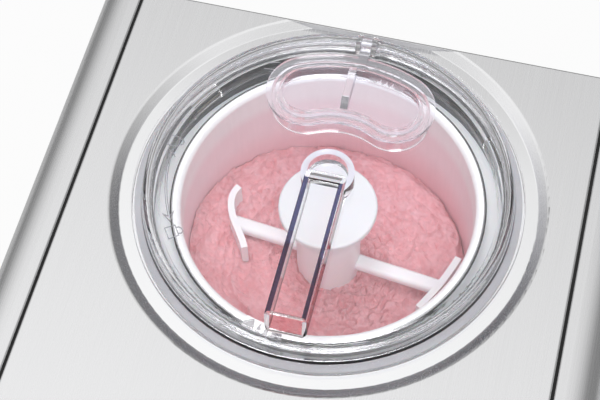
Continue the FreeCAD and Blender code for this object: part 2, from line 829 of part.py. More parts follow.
def arm(angle, length, z0, z1):
    bar = box(0, length, axis_y - arm_width / 2, axis_y + arm_width / 2, z0, z1)
    bar = bar.makeFillet(arm_round, [e for e in bar.Edges if abs(e.BoundBox.XLength - length) < 1e-6])
    bar.rotate(Vector(0, axis_y, 0), up, angle)
    return bar


def make_paddle():
    low = bowl_inside_z + paddle_lift
    disc_z = rim_z - disc_drop
    arm_z = rim_z - arm_drop
    paddle = lathe([(0, low), (column_radius, low, 1), (column_radius, disc_z - disc_thickness, 2),
                    (disc_radius, disc_z - disc_thickness), (disc_radius, disc_z, 1.2), (0, disc_z)])
    for z in (low, arm_z - arm_height):
        paddle = paddle.fuse(arm(arm_left, inner_arm, z, z + arm_height))
        paddle = paddle.fuse(arm(arm_right, outer_arm, z, z + arm_height))
    paddle = paddle.fuse(plan_blade(inner_blade, low, arm_z + blade_rise))
    paddle = paddle.fuse(plan_blade(outer_blade, low, arm_z + blade_rise))
    seat = shoulder_z + seat_gap
    paddle = paddle.cut(rod(0, axis_y, low - 1, seat, chimney_outer + column_gap))
    paddle = paddle.cut(hexagon(0, axis_y, seat - 1, shoulder_z + flats_length + seat_gap,
                                shaft_flats + 2 * flats_gap))
    save("mixing_paddle", paddle)


def make_lid():
    ledge = lid_z0 + lid_wall
    lid = lathe([(skirt_inner, zt - skirt_depth), (skirt_outer, zt - skirt_depth), (skirt_outer, lid_z0),
                 (lid_radius, lid_z0), (lid_radius, lid_z0 + lid_flange_thickness, 0.5),
                 (lid_wall_low, lid_z0 + lid_flange_thickness, 0.8), (lid_wall_high, lid_top, lid_shoulder),
                 (0, lid_top), (0, lid_under), (lid_wall_high - lid_wall, lid_under, lid_shoulder - lid_wall),
                 (lid_wall_low - lid_wall, ledge, 0.5), (skirt_inner, ledge)])
    for i in range(lug_count):
        a = lug_first + i * 360 / lug_count
        lid = lid.fuse(sector(skirt_inner + 0.5, lug_outer, a - lug_half, a + lug_half, lug_z0, lug_z1))
    half = bar_width / 2
    top = lid_top + bar_rise
    boss_top = lid_top + boss_rise
    side = [(axis_y - bar_end, lid_under), (axis_y - bar_end, lid_top), (axis_y - bar_end + bar_slope, top, bar_edge),
            (axis_y - bar_start - bar_ramp, top, bar_edge), (axis_y - bar_start, boss_top),
            (axis_y - bar_start, lid_under)]
    plan = rectangle(-half, half, axis_y - bar_end, axis_y - bar_start, bar_corner)
    cross = [(-half, lid_under), (half, lid_under), (half, top, bar_edge), (-half, top, bar_edge)]
    bar = prism_x(side, -half, half).common(prism(plan, lid_under, top))
    bar = bar.common(prism_y(cross, axis_y - bar_end, axis_y))
    bore = boss_radius - boss_wall
    lid = lid.fuse(rod(0, axis_y, lid_under, boss_top, boss_radius))
    lid = lid.cut(rod(0, axis_y, lid_top, boss_top + 1, bore)).fuse(bar)
    lid = lid.fuse(kidney(chute_inset, lid_top - chute_depth, lid_top))
    inside = half - bar_wall
    hollow = [(axis_y - bar_end + bar_wall, lid_under - 1), (axis_y - bar_end + bar_wall, lid_top),
              (axis_y - bar_end + bar_slope + bar_wall, top - bar_wall), (axis_y - bar_start - bar_ramp, top - bar_wall),
              (axis_y - bar_start - bar_wall, boss_top - bar_wall), (axis_y - bar_start - bar_wall, lid_under - 1)]
    lid = lid.cut(prism_x(hollow, -inside, inside))
    lid = lid.cut(kidney(chute_inset + chute_wall, lid_top - chute_depth - 1, lid_top + 1))
    ear_y0 = hinge_y - ear_length / 2
    ear_y1 = hinge_y + ear_length / 2
    ear_top = hinge_z + knuckle_radius
    ear_outline = [(ear_y0, lid_under), (ear_y1, lid_under), (ear_y1, ear_top, ear_length * 0.3),
                   (ear_y0, ear_top, ear_length * 0.3)]
    ear_in = knuckle_width / 2 + knuckle_gap
    for sign in (-1, 1):
        x0, x1 = sorted((hinge_offset + sign * ear_in, hinge_offset + sign * (ear_in + ear_width)))
        lid = lid.fuse(prism_x(ear_outline, x0, x1))
    pin_half = ear_in + ear_width
    pin = rod_along(right_way, (hinge_offset - pin_half, hinge_y, hinge_z), 2 * pin_half, pin_radius)
    save("lid", lid.cut(pin).removeSplitter())
    save("flap_pin", pin)
    seal_in = lid_radius - lid_flange - 1
    save("lid_seal", tube(0, axis_y, recess_z, recess_z + seal_thickness, seal_in + seal_width, seal_in))


def make_flap():
    plug = chute_inset + chute_wall + plug_gap
    tray = plug + plug_wall
    base = lid_top + flap_seat
    top = base + flap_thickness
    flap = kidney(0, base, top)
    flap = flap.fuse(kidney(plug, lid_top - plug_depth, top))
    floor = lid_top - plug_depth + plug_floor
    flap = flap.cut(kidney(tray, floor, top + 1))
    rib_y1 = axis_y + flap_reach - flap_rib_end
    rib_y0 = rib_y1 - flap_rib_length
    tray_y = axis_y + flap_reach - tray + 0.5
    rib_top = top + flap_rib_rise
    side = [(rib_y0, floor - 0.5), (tray_y, floor - 0.5), (tray_y, top - flap_thickness / 2),
            (rib_y1, top - flap_thickness / 2), (rib_y1, rib_top, 0.5), (rib_y0 + flap_rib_slope, rib_top, 1.5)]
    rib = prism_x(side, flap_rib_offset - flap_rib_width / 2, flap_rib_offset + flap_rib_width / 2)
    flap = flap.fuse(rib)
    half = knuckle_width / 2
    link = box(hinge_offset - half, hinge_offset + half, axis_y + flap_reach - tray + 0.5, hinge_y,
               lid_top + knuckle_gap, hinge_z)
    knuckle = rod_along(right_way, (hinge_offset - half, hinge_y, hinge_z), knuckle_width, knuckle_radius)
    bore = rod_along(right_way, (hinge_offset - half - 1, hinge_y, hinge_z), knuckle_width + 2, pin_radius + pin_gap)
    flap = flap.fuse(link).fuse(knuckle).cut(bore)
    save("refill_flap", flap.removeSplitter())


def gearbox_screw_places():
    x = box_half - 2 * box_wall
    return [(sx * x, y) for sx in (-1, 1) for y in (box_front + 2 * box_wall, box_back - 2 * box_wall)]


def make_drive():
    shaft = rod(0, axis_y, box_bottom, shoulder_z, shaft_radius)
    shaft = shaft.fuse(hexagon(0, axis_y, shoulder_z, shoulder_z + flats_length, shaft_flats))
    save("drive_shaft", shaft)
    lower = tube(0, axis_y, box_bottom, box_bottom + bushing_height, bushing_outer, shaft_radius + running_gap)
    upper = tube(0, axis_y, cover_z, foam_bottom, bushing_outer, shaft_radius + running_gap)
    save("shaft_bushings", lower, upper)
    output = gear(gear_module, output_teeth, 0, axis_y, gear_z0, gear_z1, -90)
    save("output_gear", output.cut(rod(0, axis_y, gear_z0, gear_z1, shaft_radius)))
    small = gear(gear_module, small_teeth, 0, gear_y1, gear_z0, second_z0, 90 + 180 / small_teeth)
    large = gear(second_module, large_teeth, 0, gear_y1, second_z0, second_z1, -90)
    cluster = small.fuse(large).cut(rod(0, gear_y1, gear_z0, second_z1, gear_pin_radius + running_gap))
    save("intermediate_gear", cluster)
    pinion = gear(second_module, pinion_teeth, 0, gear_y2, second_z0, second_z1, 90 + 180 / pinion_teeth)
    motor_top = box_bottom
    pinion = pinion.fuse(rod(0, gear_y2, motor_top - motor_shaft_depth, second_z1, motor_shaft_radius))
    save("motor_pinion", pinion)
    save("gear_pin", rod(0, gear_y1, box_bottom, shelf_bottom, gear_pin_radius))
    housing = box(-box_half, box_half, box_front, box_back, box_bottom, cover_z)
    cavity_z = box_bottom + box_wall
    housing = housing.cut(rod(0, axis_y, cavity_z, cover_z, output_tip + gear_room))
    housing = housing.cut(rod(0, gear_y1, cavity_z, cover_z, large_tip + gear_room))
    housing = housing.cut(rod(0, gear_y2, cavity_z, cover_z, pinion_tip + gear_room))
    collar = rod(0, axis_y, cavity_z, box_bottom + bushing_height - gear_space, bushing_outer + box_wall)
    housing = housing.fuse(collar).cut(rod(0, axis_y, box_bottom, cover_z, bushing_outer))
    boss = rod(0, gear_y1, cavity_z, gear_z0 - running_gap, gear_pin_radius + box_wall)
    housing = housing.fuse(boss).cut(rod(0, gear_y1, box_bottom, cover_z, gear_pin_radius))
    housing = housing.cut(rod(0, gear_y2, box_bottom, cavity_z, motor_shaft_radius + gear_space))
    cover = box(-box_half, box_half, box_front, box_back, cover_z, shelf_bottom)
    cover = cover.cut(rod(0, axis_y, cover_z, shelf_bottom, bushing_outer))
    cover = cover.cut(rod(0, gear_y1, cover_z, shelf_bottom, gear_pin_radius))
    screws = []
    for x, y in gearbox_screw_places():
        hole = rod(x, y, box_bottom, foam_bottom, screw_radius)
        housing = housing.cut(hole)
        cover = cover.cut(hole)
        screws.append(hole.fuse(rod(x, y, box_bottom - screw_head_height, box_bottom, screw_head_radius)))
    save("gearbox_housing", housing)
    save("gearbox_cover", cover)
    save("gearbox_screws", *screws)
    motor = lathe([(0, motor_top - motor_height), (motor_radius, motor_top - motor_height, 3),
                   (motor_radius, motor_top, 2), (0, motor_top)], 0, gear_y2)
    motor = motor.cut(rod(0, gear_y2, motor_top - motor_shaft_depth - running_gap, motor_top,
                          motor_shaft_radius + running_gap))
    save("drive_motor", motor)


def make_compressor():
    x = compressor_x
    y = compressor_y
    r = compressor_radius
    inner = r - compressor_wall
    outline = [(0, compressor_z0), (r, compressor_z0, 6), (r, compressor_z1, compressor_dome), (0, compressor_z1)]
    hollow = [(0, compressor_z0 + compressor_wall), (inner, compressor_z0 + compressor_wall, 4),
              (inner, compressor_z1 - compressor_wall, compressor_dome - compressor_wall),
              (0, compressor_z1 - compressor_wall)]
    shell = lathe(outline, x, y).cut(lathe(hollow, x, y))
    floor = compressor_z0 + compressor_wall
    block = rod(x, y, floor + block_leg, floor + block_leg + block_height, block_radius)
    for i in range(3):
        a = math.radians(90 + 120 * i)
        leg_x = x + (block_radius - 8) * math.cos(a)
        leg_y = y + (block_radius - 8) * math.sin(a)
        block = block.fuse(rod(leg_x, leg_y, floor, floor + block_leg, 4))
    save("compressor_block", block)
    bracket = prism(rectangle(x - bracket_half, x + bracket_half, y - bracket_half, y + bracket_half,
                              grommet_radius), bracket_z, compressor_z0)
    grommets = []
    bolts = []
    for sx in (-1, 1):
        for sy in (-1, 1):
            gx = x + sx * grommet_offset
            gy = y + sy * grommet_offset
            bracket = bracket.cut(rod(gx, gy, bracket_z, compressor_z0, bolt_radius))
            grommets.append(tube(gx, gy, base_top, bracket_z, grommet_radius, bolt_radius))
            bolt = rod(gx, gy, base_top, compressor_z0 + 1, bolt_radius)
            bolts.append(bolt.fuse(rod(gx, gy, compressor_z0, compressor_z0 + 3, bolt_radius * 1.8)))
    save("compressor_shell", shell.fuse(bracket))
    save("compressor_grommets", *grommets)
    save("compressor_bolts", *bolts)
    mid = compressor_z0 + compressor_height / 2
    cover = box(x - terminal_width / 2, x + terminal_width / 2, y - r - terminal_depth, y, mid - terminal_height / 2,
                mid + terminal_height / 2)
    save("compressor_terminal_cover", cover.cut(rod(x, y, mid - terminal_height, mid + terminal_height, r)))


def condenser_levels():
    return [base_top + tube_rise + i * tube_pitch for i in range(tube_passes)]


def make_condenser():
    y0 = fan_y - fin_span / 2
    fin = box(fin_x0, fin_x1, y0, y0 + fin_thickness, base_top, base_top + fin_height)
    for z in condenser_levels():
        fin = fin.cut(rod_along(backward, (tube_x, y0 - 1, z), fin_thickness + 2, pipe_radius))
    fins = []
    for i in range(fin_count):
        copy = fin.copy()
        copy.translate(Vector(0, i * fin_pitch, 0))
        fins.append(copy)
    save("condenser_fins", *fins)
    bend = tube_pitch / 2
    front = y0 - 2
    back = y0 + fin_span + 2
    edges = []
    levels = condenser_levels()
    for i, z in enumerate(levels):
        a, b = (front, back) if i % 2 == 0 else (back, front)
        edges.append(Part.LineSegment(Vector(tube_x, a, z), Vector(tube_x, b, z)).toShape())
        if i < len(levels) - 1:
            out = b + bend if b == back else b - bend
            edges.append(Part.Arc(Vector(tube_x, b, z), Vector(tube_x, out, z + bend),
                                  Vector(tube_x, b, z + tube_pitch)).toShape())
    section = Part.Wire([Part.Circle(Vector(tube_x, front, levels[0]), backward, pipe_radius).toShape()])
    save("condenser_tube", Part.Wire(edges).makePipeShell([section], True, False))
    return Vector(tube_x, front, levels[0]), Vector(tube_x, front if len(levels) % 2 == 0 else back, levels[-1])


def make_fan():
    half = fan_ring_radius + fan_ring_wall + 3
    shroud = box(shroud_x0, shroud_x0 + shroud_thickness, fan_y - half, fan_y + half, base_top, fan_z + half)
    ring = rod_along(right_way, (shroud_x0, fan_y, fan_z), fan_ring_depth + spider_thickness,
                     fan_ring_radius + fan_ring_wall)
    shroud = shroud.fuse(ring)
    shroud = shroud.cut(rod_along(right_way, (shroud_x0 - 1, fan_y, fan_z), fan_ring_depth + spider_thickness + 2,
                                  fan_ring_radius))
    spider = rod_along(right_way, (fan_ring_x1, fan_y, fan_z), spider_thickness, fan_motor_radius)
    for i in range(3):
        spoke = box(fan_ring_x1, spider_x1, fan_y, fan_y + fan_ring_radius + fan_ring_wall / 2,
                    fan_z - spider_width / 2, fan_z + spider_width / 2)
        spoke.rotate(Vector(0, fan_y, fan_z), right_way, 90 + 120 * i)
        spider = spider.fuse(spoke)
    shroud = shroud.fuse(spider)
    shroud = shroud.cut(rod_along(right_way, (fan_ring_x1 - 1, fan_y, fan_z), spider_thickness + 2,
                                  fan_shaft_radius + running_gap))
    save("fan_shroud", shroud)
    motor = rod_along(right_way, (spider_x1, fan_y, fan_z), fan_motor_length, fan_motor_radius)
    motor = motor.cut(rod_along(right_way, (spider_x1, fan_y, fan_z), fan_motor_length / 2 + running_gap,
                                fan_shaft_radius + running_gap))
    save("fan_motor", motor)
    hub_x = shroud_x0 + fan_gap
    fan = rod_along(right_way, (hub_x, fan_y, fan_z), fan_hub_height, fan_hub_radius)
    fan = fan.fuse(rod_along(right_way, (hub_x, fan_y, fan_z), spider_x1 + fan_motor_length / 2 - hub_x,
                             fan_shaft_radius))
    mid_x = hub_x + fan_hub_height / 2
    for i in range(fan_blades):
        blade = box(mid_x - fan_blade_thickness / 2, mid_x + fan_blade_thickness / 2, fan_y - fan_blade_width / 2,
                    fan_y + fan_blade_width / 2, fan_z + fan_hub_radius - 4, fan_z + fan_ring_radius - fan_gap)
        blade.rotate(Vector(mid_x, fan_y, fan_z), up, fan_pitch_angle)
        blade.rotate(Vector(mid_x, fan_y, fan_z), right_way, 360 * i / fan_blades)
        fan = fan.fuse(blade)
    save("fan_blade", fan)


def make_lines(low_end, high_end):
    drier_y = -half_length + drier_front
    drier_z0 = base_top + 3 * tube_pitch
    drier_z1 = drier_z0 + drier_length
    drier = lathe([(0, drier_z0), (drier_radius, drier_z0, 3), (drier_radius, drier_z1, 3), (0, drier_z1)],
                  drier_x, drier_y)
    save("filter_drier", drier)
    x, y, z = low_end
    liquid = [(x, y, z), (x, drier_y, z), (drier_x, drier_y, z), (drier_x, drier_y, drier_z0)]
    lines = [pipe(liquid, pipe_radius, pipe_bend)]
    inlet, outlet = evaporator_ports()
    lane = (foam_y0 + compressor_y + compressor_radius) / 2
    top = board_z0 - 2 * pipe_bend
    capillary = [(drier_x, drier_y, drier_z1), (drier_x, drier_y, top), (inlet[0], drier_y, top),
                 (inlet[0], lane, top), (inlet[0], lane, inlet[2]), inlet]
    lines.append(pipe(capillary, capillary_radius, pipe_bend))
    port_z = compressor_z0 + compressor_height / 2
    port_x = compressor_x - pipe_bend
    port_y = compressor_y + math.sqrt(compressor_radius ** 2 - (port_x - compressor_x) ** 2)
    suction = [outlet, (outlet[0], lane, outlet[2]), (outlet[0], lane, port_z), (port_x, lane, port_z),
               (port_x, port_y - 1, port_z)]
    shell = rod(compressor_x, compressor_y, compressor_z0, compressor_z1, compressor_radius)
    lines.append(pipe(suction, pipe_radius, pipe_bend).cut(shell))
    x, y, z = high_end
    level = compressor_z1 - compressor_dome - pipe_bend
    start_x = compressor_x - compressor_radius
    run_x = fin_x1 + 3 * pipe_bend
    front = y - 2 * pipe_bend
    high = level + 3 * pipe_bend
    discharge = [(start_x + 1, compressor_y, level), (start_x - 2 * pipe_bend, compressor_y, level),
                 (start_x - 2 * pipe_bend, front, level), (run_x, front, level), (run_x, front, high),
                 (x, front, high), (x, front, z), (x, y, z)]
    lines.append(pipe(discharge, pipe_radius, pipe_bend).cut(shell))
    save("refrigerant_lines", *lines)


def board_places():
    x = plate_half - control_end - 2 * board_margin
    y0 = -half_length + panel_thickness + 2 * board_margin
    y1 = control_back - panel_thickness - 2 * board_margin
    return [(sx * x, y) for sx in (-1, 1) for y in (y0, y1)]


def make_controls():
    panel = box(-plate_half, plate_half, -half_length, control_back, zt - control_height, zt)
    front = [e for e in panel.Edges if abs(e.BoundBox.ZMin - zt) < 1e-6 and e.BoundBox.YMax < -half_length + 1e-6]
    panel = panel.makeFillet(control_round, front)
    panel = panel.cut(box(-plate_half + control_end, plate_half - control_end, -half_length + panel_thickness,
                          control_back - panel_thickness, zt - control_height, panel_under))
    wx = window_width / 2
    wy = window_depth / 2
    window = prism(rectangle(-wx, wx, control_y - wy, control_y + wy, 2), zt - window_thickness, zt)
    panel = panel.cut(window)
    panel = panel.cut(box(-wx + window_ledge, wx - window_ledge, control_y - wy + window_ledge,
                          control_y + wy - window_ledge, panel_under, zt))
    panel = panel.cut(rod(knob_x, control_y, panel_under, zt, knob_shaft_radius + knob_gap))
    save("display_window", window)
    switch_z = board_z1 + switch_height
    switches = []
    for name, x in button_places:
        panel = panel.cut(rod(x, control_y, panel_under, zt, button_radius + button_gap))
        flange_top = panel_under - button_gap
        flange_z0 = flange_top - button_flange_height
        button = lathe([(0, flange_z0), (button_radius + button_flange, flange_z0),
                        (button_radius + button_flange, flange_top), (button_radius, flange_top),
                        (button_radius, zt + button_proud, 0.8), (0, zt + button_proud)], x, control_y)
        stem_z0 = switch_z + button_travel + button_gap
        save(name, button.fuse(rod(x, control_y, stem_z0, flange_z0, stem_radius)))
        half = switch_size / 2
        switches.append(box(x - half, x + half, control_y - half, control_y + half, board_z1, switch_z))
    save("tact_switches", *switches)
    x = plate_half - control_end - board_margin
    board = box(-x, x, -half_length + panel_thickness + board_margin, control_back - panel_thickness - board_margin,
                board_z0, board_z1)
    for sx, sy in board_places():
        seat = Vector(sx, sy, board_z0)
        board = board.cut(pilot(seat, up))
        panel = panel.fuse(rod(sx, sy, board_z1, panel_under, standoff_radius)).cut(pilot(seat, up))
        housing_screws.append(screw(seat, up))
    save("control_board", board)
    save("control_panel", panel)
    inset = window_ledge + module_gap
    module = box(-wx + inset, wx - inset, control_y - wy + inset, control_y + wy - inset, board_z1,
                 zt - window_thickness - module_gap / 2)
    save("display_module", module)
    half = encoder_size / 2
    encoder = box(knob_x - half, knob_x + half, control_y - half, control_y + half, board_z1, board_z1 + encoder_height)
    shaft_z0 = board_z1 + board_thickness
    encoder = encoder.cut(rod(knob_x, control_y, shaft_z0 - running_gap, board_z1 + encoder_height,
                              knob_shaft_radius + running_gap))
    save("encoder", encoder)
    knob = lathe([(0, zt + knob_gap), (knob_radius, zt + knob_gap, 0.6), (knob_radius - 1, zt + knob_height, 1.5),
                  (0, zt + knob_height)], knob_x, control_y)
    mark = box(knob_x - 0.8, knob_x + 0.8, control_y + knob_radius / 2, control_y + knob_radius, zt + knob_height - 0.8,
               zt + knob_height + 1)
    knob = knob.cut(mark).fuse(rod(knob_x, control_y, shaft_z0, zt + knob_gap, knob_shaft_radius))
    save("control_knob", knob)


make_base()
make_posts()
make_side_panels()
make_front_and_back()
make_power_switch()
make_top_plate()
make_opening()
make_well()
make_bowl()
make_paddle()
make_lid()
make_flap()
make_drive()
make_compressor()
tube_ends = make_condenser()
make_fan()
make_lines(*tube_ends)
make_controls()
save("housing_screws", *housing_screws)
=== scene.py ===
import bpy
import math
from mathutils import Matrix, Vector, noise


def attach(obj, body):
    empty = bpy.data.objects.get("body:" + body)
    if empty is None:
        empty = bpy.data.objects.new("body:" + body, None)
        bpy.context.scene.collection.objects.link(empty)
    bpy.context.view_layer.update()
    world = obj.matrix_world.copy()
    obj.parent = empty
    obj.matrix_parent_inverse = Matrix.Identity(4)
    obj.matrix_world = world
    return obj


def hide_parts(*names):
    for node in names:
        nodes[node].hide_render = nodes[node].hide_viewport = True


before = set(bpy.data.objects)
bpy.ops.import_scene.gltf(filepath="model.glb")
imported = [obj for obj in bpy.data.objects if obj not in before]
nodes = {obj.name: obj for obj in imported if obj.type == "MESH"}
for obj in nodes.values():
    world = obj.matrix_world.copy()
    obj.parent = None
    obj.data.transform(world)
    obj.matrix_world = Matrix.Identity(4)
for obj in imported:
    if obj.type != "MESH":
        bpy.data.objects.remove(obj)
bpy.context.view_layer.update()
scene = bpy.context.scene
scene.view_settings.view_transform = "Standard"
print("frame loaded:", len(nodes), "nodes")

place = {"lidY": 0.1146, "plateZ": 0.236}    # middle of the lid and surface of the plate

shot = {"lens": 93.24, "sensor": 36.0, "azimuth": 16.12, "elevation": 59.59, "roll": -2.35,
        "distance": 0.7473, "target": (-0.01217, 0.10795, 0.236)}


def setCamera():
    az, el, roll = (math.radians(shot[k]) for k in ("azimuth", "elevation", "roll"))
    back = Vector((math.sin(az) * math.cos(el), -math.cos(az) * math.cos(el), math.sin(el)))
    right = (-back).cross(Vector((0, 0, 1))).normalized()
    up = right.cross(-back)
    side = right * math.cos(roll) + up * math.sin(roll)
    top = up * math.cos(roll) - right * math.sin(roll)
    data = bpy.data.cameras.new("camera")
    data.lens = shot["lens"]
    data.sensor_width = shot["sensor"]
    data.clip_start = 0.01
    camera = bpy.data.objects.new("camera", data)
    scene.collection.objects.link(camera)
    spot = Vector(shot["target"]) + back * shot["distance"]
    camera.matrix_world = Matrix.Translation(spot) @ Matrix((side, top, back)).transposed().to_4x4()
    scene.camera = camera


setCamera()
print("camera set")

studio = {"floorRadius": 0.95, "floorSides": 96, "floorColour": 0.52, "floorRough": 0.8, "floorGlow": 0.94,
          "fill": 0.62, "low": 0.28, "high": 1.13, "lowEnd": 0.0, "highEnd": 0.81, "lean": (-0.21, -0.51, 1),
          "front": 0.9, "frontFrom": -0.15, "frontTo": -0.42,
          "lamps": [("topLamp", (-0.15, 0.25, 1.95), 0.7, 10.5), ("frontLamp", (0.3, -0.75, 1.6), 0.6, 9.5)]}


def setRange(node, *values):
    for socket, value in zip(("From Min", "From Max", "To Min", "To Max"), values):
        node.inputs[socket].default_value = value


def setWorld():
    world = bpy.data.worlds.new("studio")
    world.use_nodes = True
    scene.world = world
    tree = world.node_tree
    tree.nodes.clear()
    make = tree.nodes.new
    link = tree.links.new
    out = make("ShaderNodeOutputWorld")
    path = make("ShaderNodeLightPath")
    fill = make("ShaderNodeBackground")
    fill.inputs["Strength"].default_value = studio["fill"]
    fill.inputs["Color"].default_value = (1, 1, 1, 1)
    white = make("ShaderNodeBackground")
    white.inputs["Color"].default_value = (1, 1, 1, 1)
    seen = make("ShaderNodeBackground")      # what metal and glass mirror: a bright roof over a grey room
    coord = make("ShaderNodeTexCoord")
    height = make("ShaderNodeVectorMath")
    height.operation = "DOT_PRODUCT"
    height.inputs[1].default_value = studio["lean"]      # brighter to the front and the left
    link(coord.outputs["Generated"], height.inputs[0])
    ramp = make("ShaderNodeMapRange")
    setRange(ramp, studio["lowEnd"], studio["highEnd"], studio["low"], studio["high"])
    link(height.outputs["Value"], ramp.inputs["Value"])
    split = make("ShaderNodeSeparateXYZ")
    link(coord.outputs["Generated"], split.inputs[0])
    front = make("ShaderNodeMapRange")       # the roof ends in front of the object
    setRange(front, studio["frontFrom"], studio["frontTo"], studio["high"], studio["front"])
    link(split.outputs["Y"], front.inputs["Value"])
    both = make("ShaderNodeMath")
    both.operation = "MINIMUM"
    link(ramp.outputs[0], both.inputs[0])
    link(front.outputs[0], both.inputs[1])
    link(both.outputs[0], seen.inputs["Color"])
    mirror = make("ShaderNodeMath")
    mirror.operation = "MAXIMUM"
    link(path.outputs["Is Glossy Ray"], mirror.inputs[0])
    link(path.outputs["Is Transmission Ray"], mirror.inputs[1])
    first = make("ShaderNodeMixShader")
    second = make("ShaderNodeMixShader")
    link(mirror.outputs[0], first.inputs[0])
    link(fill.outputs[0], first.inputs[1])
    link(seen.outputs[0], first.inputs[2])
    link(path.outputs["Is Camera Ray"], second.inputs[0])
    link(first.outputs[0], second.inputs[1])
    link(white.outputs[0], second.inputs[2])
    link(second.outputs[0], out.inputs[0])


def setFloor():
    bpy.ops.object.select_all(action="DESELECT")
    bpy.ops.mesh.primitive_circle_add(vertices=studio["floorSides"], radius=studio["floorRadius"],
                                      fill_type="NGON", location=(0, 0, 0))
    floor = bpy.context.object
    floor.name = "floor"
    mat = bpy.data.materials.new("paleFloor")
    mat.use_nodes = True
    tree = mat.node_tree
    shader = tree.nodes["Principled BSDF"]
    grey = studio["floorColour"]
    shader.inputs["Base Color"].default_value = (grey, grey, grey, 1)
    shader.inputs["Roughness"].default_value = studio["floorRough"]
    glow = tree.nodes.new("ShaderNodeEmission")
    path = tree.nodes.new("ShaderNodeLightPath")
    share = tree.nodes.new("ShaderNodeMath")
    share.operation = "MULTIPLY"
    share.inputs[1].default_value = studio["floorGlow"]     # nearly white to the camera, with a faint shadow
    mix = tree.nodes.new("ShaderNodeMixShader")
    tree.links.new(path.outputs["Is Camera Ray"], share.inputs[0])
    tree.links.new(share.outputs[0], mix.inputs[0])
    tree.links.new(shader.outputs[0], mix.inputs[1])
    tree.links.new(glow.outputs[0], mix.inputs[2])
    tree.links.new(mix.outputs[0], tree.nodes["Material Output"].inputs[0])
    floor.data.materials.append(mat)


def setLamps():
    for name, spot, size, power in studio["lamps"]:
        data = bpy.data.lights.new(name, "AREA")
        data.shape = "DISK"
        data.size = size
        data.energy = power
        lamp = bpy.data.objects.new(name, data)
        lamp.location = spot
        aim = Vector((0, place["lidY"], place["plateZ"])) - Vector(spot)
        lamp.rotation_euler = aim.to_track_quat("-Z", "Y").to_euler()
        lamp.visible_glossy = False      # metal mirrors the pale tent alone
        scene.collection.objects.link(lamp)


setWorld()
setFloor()
setLamps()
print("studio set")


sockets = {"colour": "Base Color", "metal": "Metallic", "ior": "IOR",
           "clear": "Transmission Weight", "soft": "Subsurface Weight", "softScale": "Subsurface Scale",
           "shine": "Specular IOR Level"}
spread = {"less": 0.05, "more": 0.06, "low": 0.3, "high": 0.7}    # how far a pattern moves the roughness


class Finish:    # one node material, with short calls for its patterns
    def __init__(self, name, **values):
        self.mat = bpy.data.materials.new(name)
        self.mat.use_nodes = True
        self.tree = self.mat.node_tree
        self.shader = self.tree.nodes["Principled BSDF"]
        for key, value in values.items():
            socket = sockets[key]
            self.shader.inputs[socket].default_value = (*value, 1) if key == "colour" else value

    def node(self, kind, **settings):
        made = self.tree.nodes.new(kind)
        for key, value in settings.items():
            setattr(made, key, value)
        return made

    def link(self, a, b):
        self.tree.links.new(a, b)

    def noise(self, scale, stretch=(1, 1, 1), detail=3.0, rough=0.55, warp=0.0):
        coord = self.node("ShaderNodeTexCoord")
        mapping = self.node("ShaderNodeMapping")
        mapping.inputs["Scale"].default_value = stretch
        noise = self.node("ShaderNodeTexNoise")
        noise.inputs["Scale"].default_value = scale
        noise.inputs["Detail"].default_value = detail
        noise.inputs["Roughness"].default_value = rough
        noise.inputs["Distortion"].default_value = warp
        self.link(coord.outputs["Object"], mapping.inputs["Vector"])
        self.link(mapping.outputs[0], noise.inputs["Vector"])
        return noise.outputs["Fac"]

    def tint(self, pattern, dark, light, low=0.35, high=0.65):
        ramp = self.node("ShaderNodeValToRGB")
        ramp.color_ramp.elements[0].position = low
        ramp.color_ramp.elements[1].position = high
        ramp.color_ramp.elements[0].color = (*dark, 1)
        ramp.color_ramp.elements[1].color = (*light, 1)
        self.link(pattern, ramp.inputs[0])
        self.link(ramp.outputs[0], self.shader.inputs["Base Color"])
        return self

    def roughen(self, pattern, low, high):
        span = self.node("ShaderNodeMapRange")
        setRange(span, spread["low"], spread["high"], low, high)
        self.link(pattern, span.inputs["Value"])
        self.link(span.outputs[0], self.shader.inputs["Roughness"])
        return self

    def scatter(self, pattern, rough):
        return self.roughen(pattern, rough - spread["less"], rough + spread["more"])

    def bump(self, pattern, depth, strength=1.0):
        bump = self.node("ShaderNodeBump")
        bump.inputs["Strength"].default_value = strength
        bump.inputs["Distance"].default_value = depth
        self.link(pattern, bump.inputs["Height"])
        self.link(bump.outputs[0], self.shader.inputs["Normal"])
        return self


    def blend(self, socket, share, value, way="MIX"):
        # what feeds the socket gives way to a fixed value, by the share
        kind = "RGBA" if socket == "Base Color" else "FLOAT"
        mix = self.node("ShaderNodeMix", data_type=kind, blend_type=way)
        pair = [i for i in mix.inputs if i.enabled and i.name in "AB"]
        pair[1].default_value = (*value, 1) if kind == "RGBA" else value
        self.link(share, mix.inputs[0])
        self.link(self.shader.inputs[socket].links[0].from_socket, pair[0])
        self.link([o for o in mix.outputs if o.enabled][0], self.shader.inputs[socket])

    def stainAndLight(self, start, end, colour):
        # the colour is multiplied in from one height to another, for a film and for painted light
        coord = self.node("ShaderNodeTexCoord")
        split = self.node("ShaderNodeSeparateXYZ")
        span = self.node("ShaderNodeMapRange")
        setRange(span, start, end)
        self.link(coord.outputs["Object"], split.inputs[0])
        self.link(split.outputs["Z"], span.inputs["Value"])
        self.blend("Base Color", span.outputs[0], colour, "MULTIPLY")
        return self


def brushed(name, dark, light, rough, stretch, depth=0.00002, metal=1.0):
    made = Finish(name, metal=metal)
    fine = made.noise(1.0, stretch, 4.0, 0.6)
    made.tint(fine, dark, light, 0.3, 0.7)
    made.scatter(fine, rough)
    return made.bump(fine, depth).mat


def moulded(name, dark, light, rough, grain=900.0, depth=0.00002, **values):
    made = Finish(name, **values)
    fine = made.noise(grain, detail=2.0)
    made.tint(made.noise(18.0, detail=4.0), dark, light)
    made.scatter(fine, rough)
    return made.bump(fine, depth, 0.6).mat


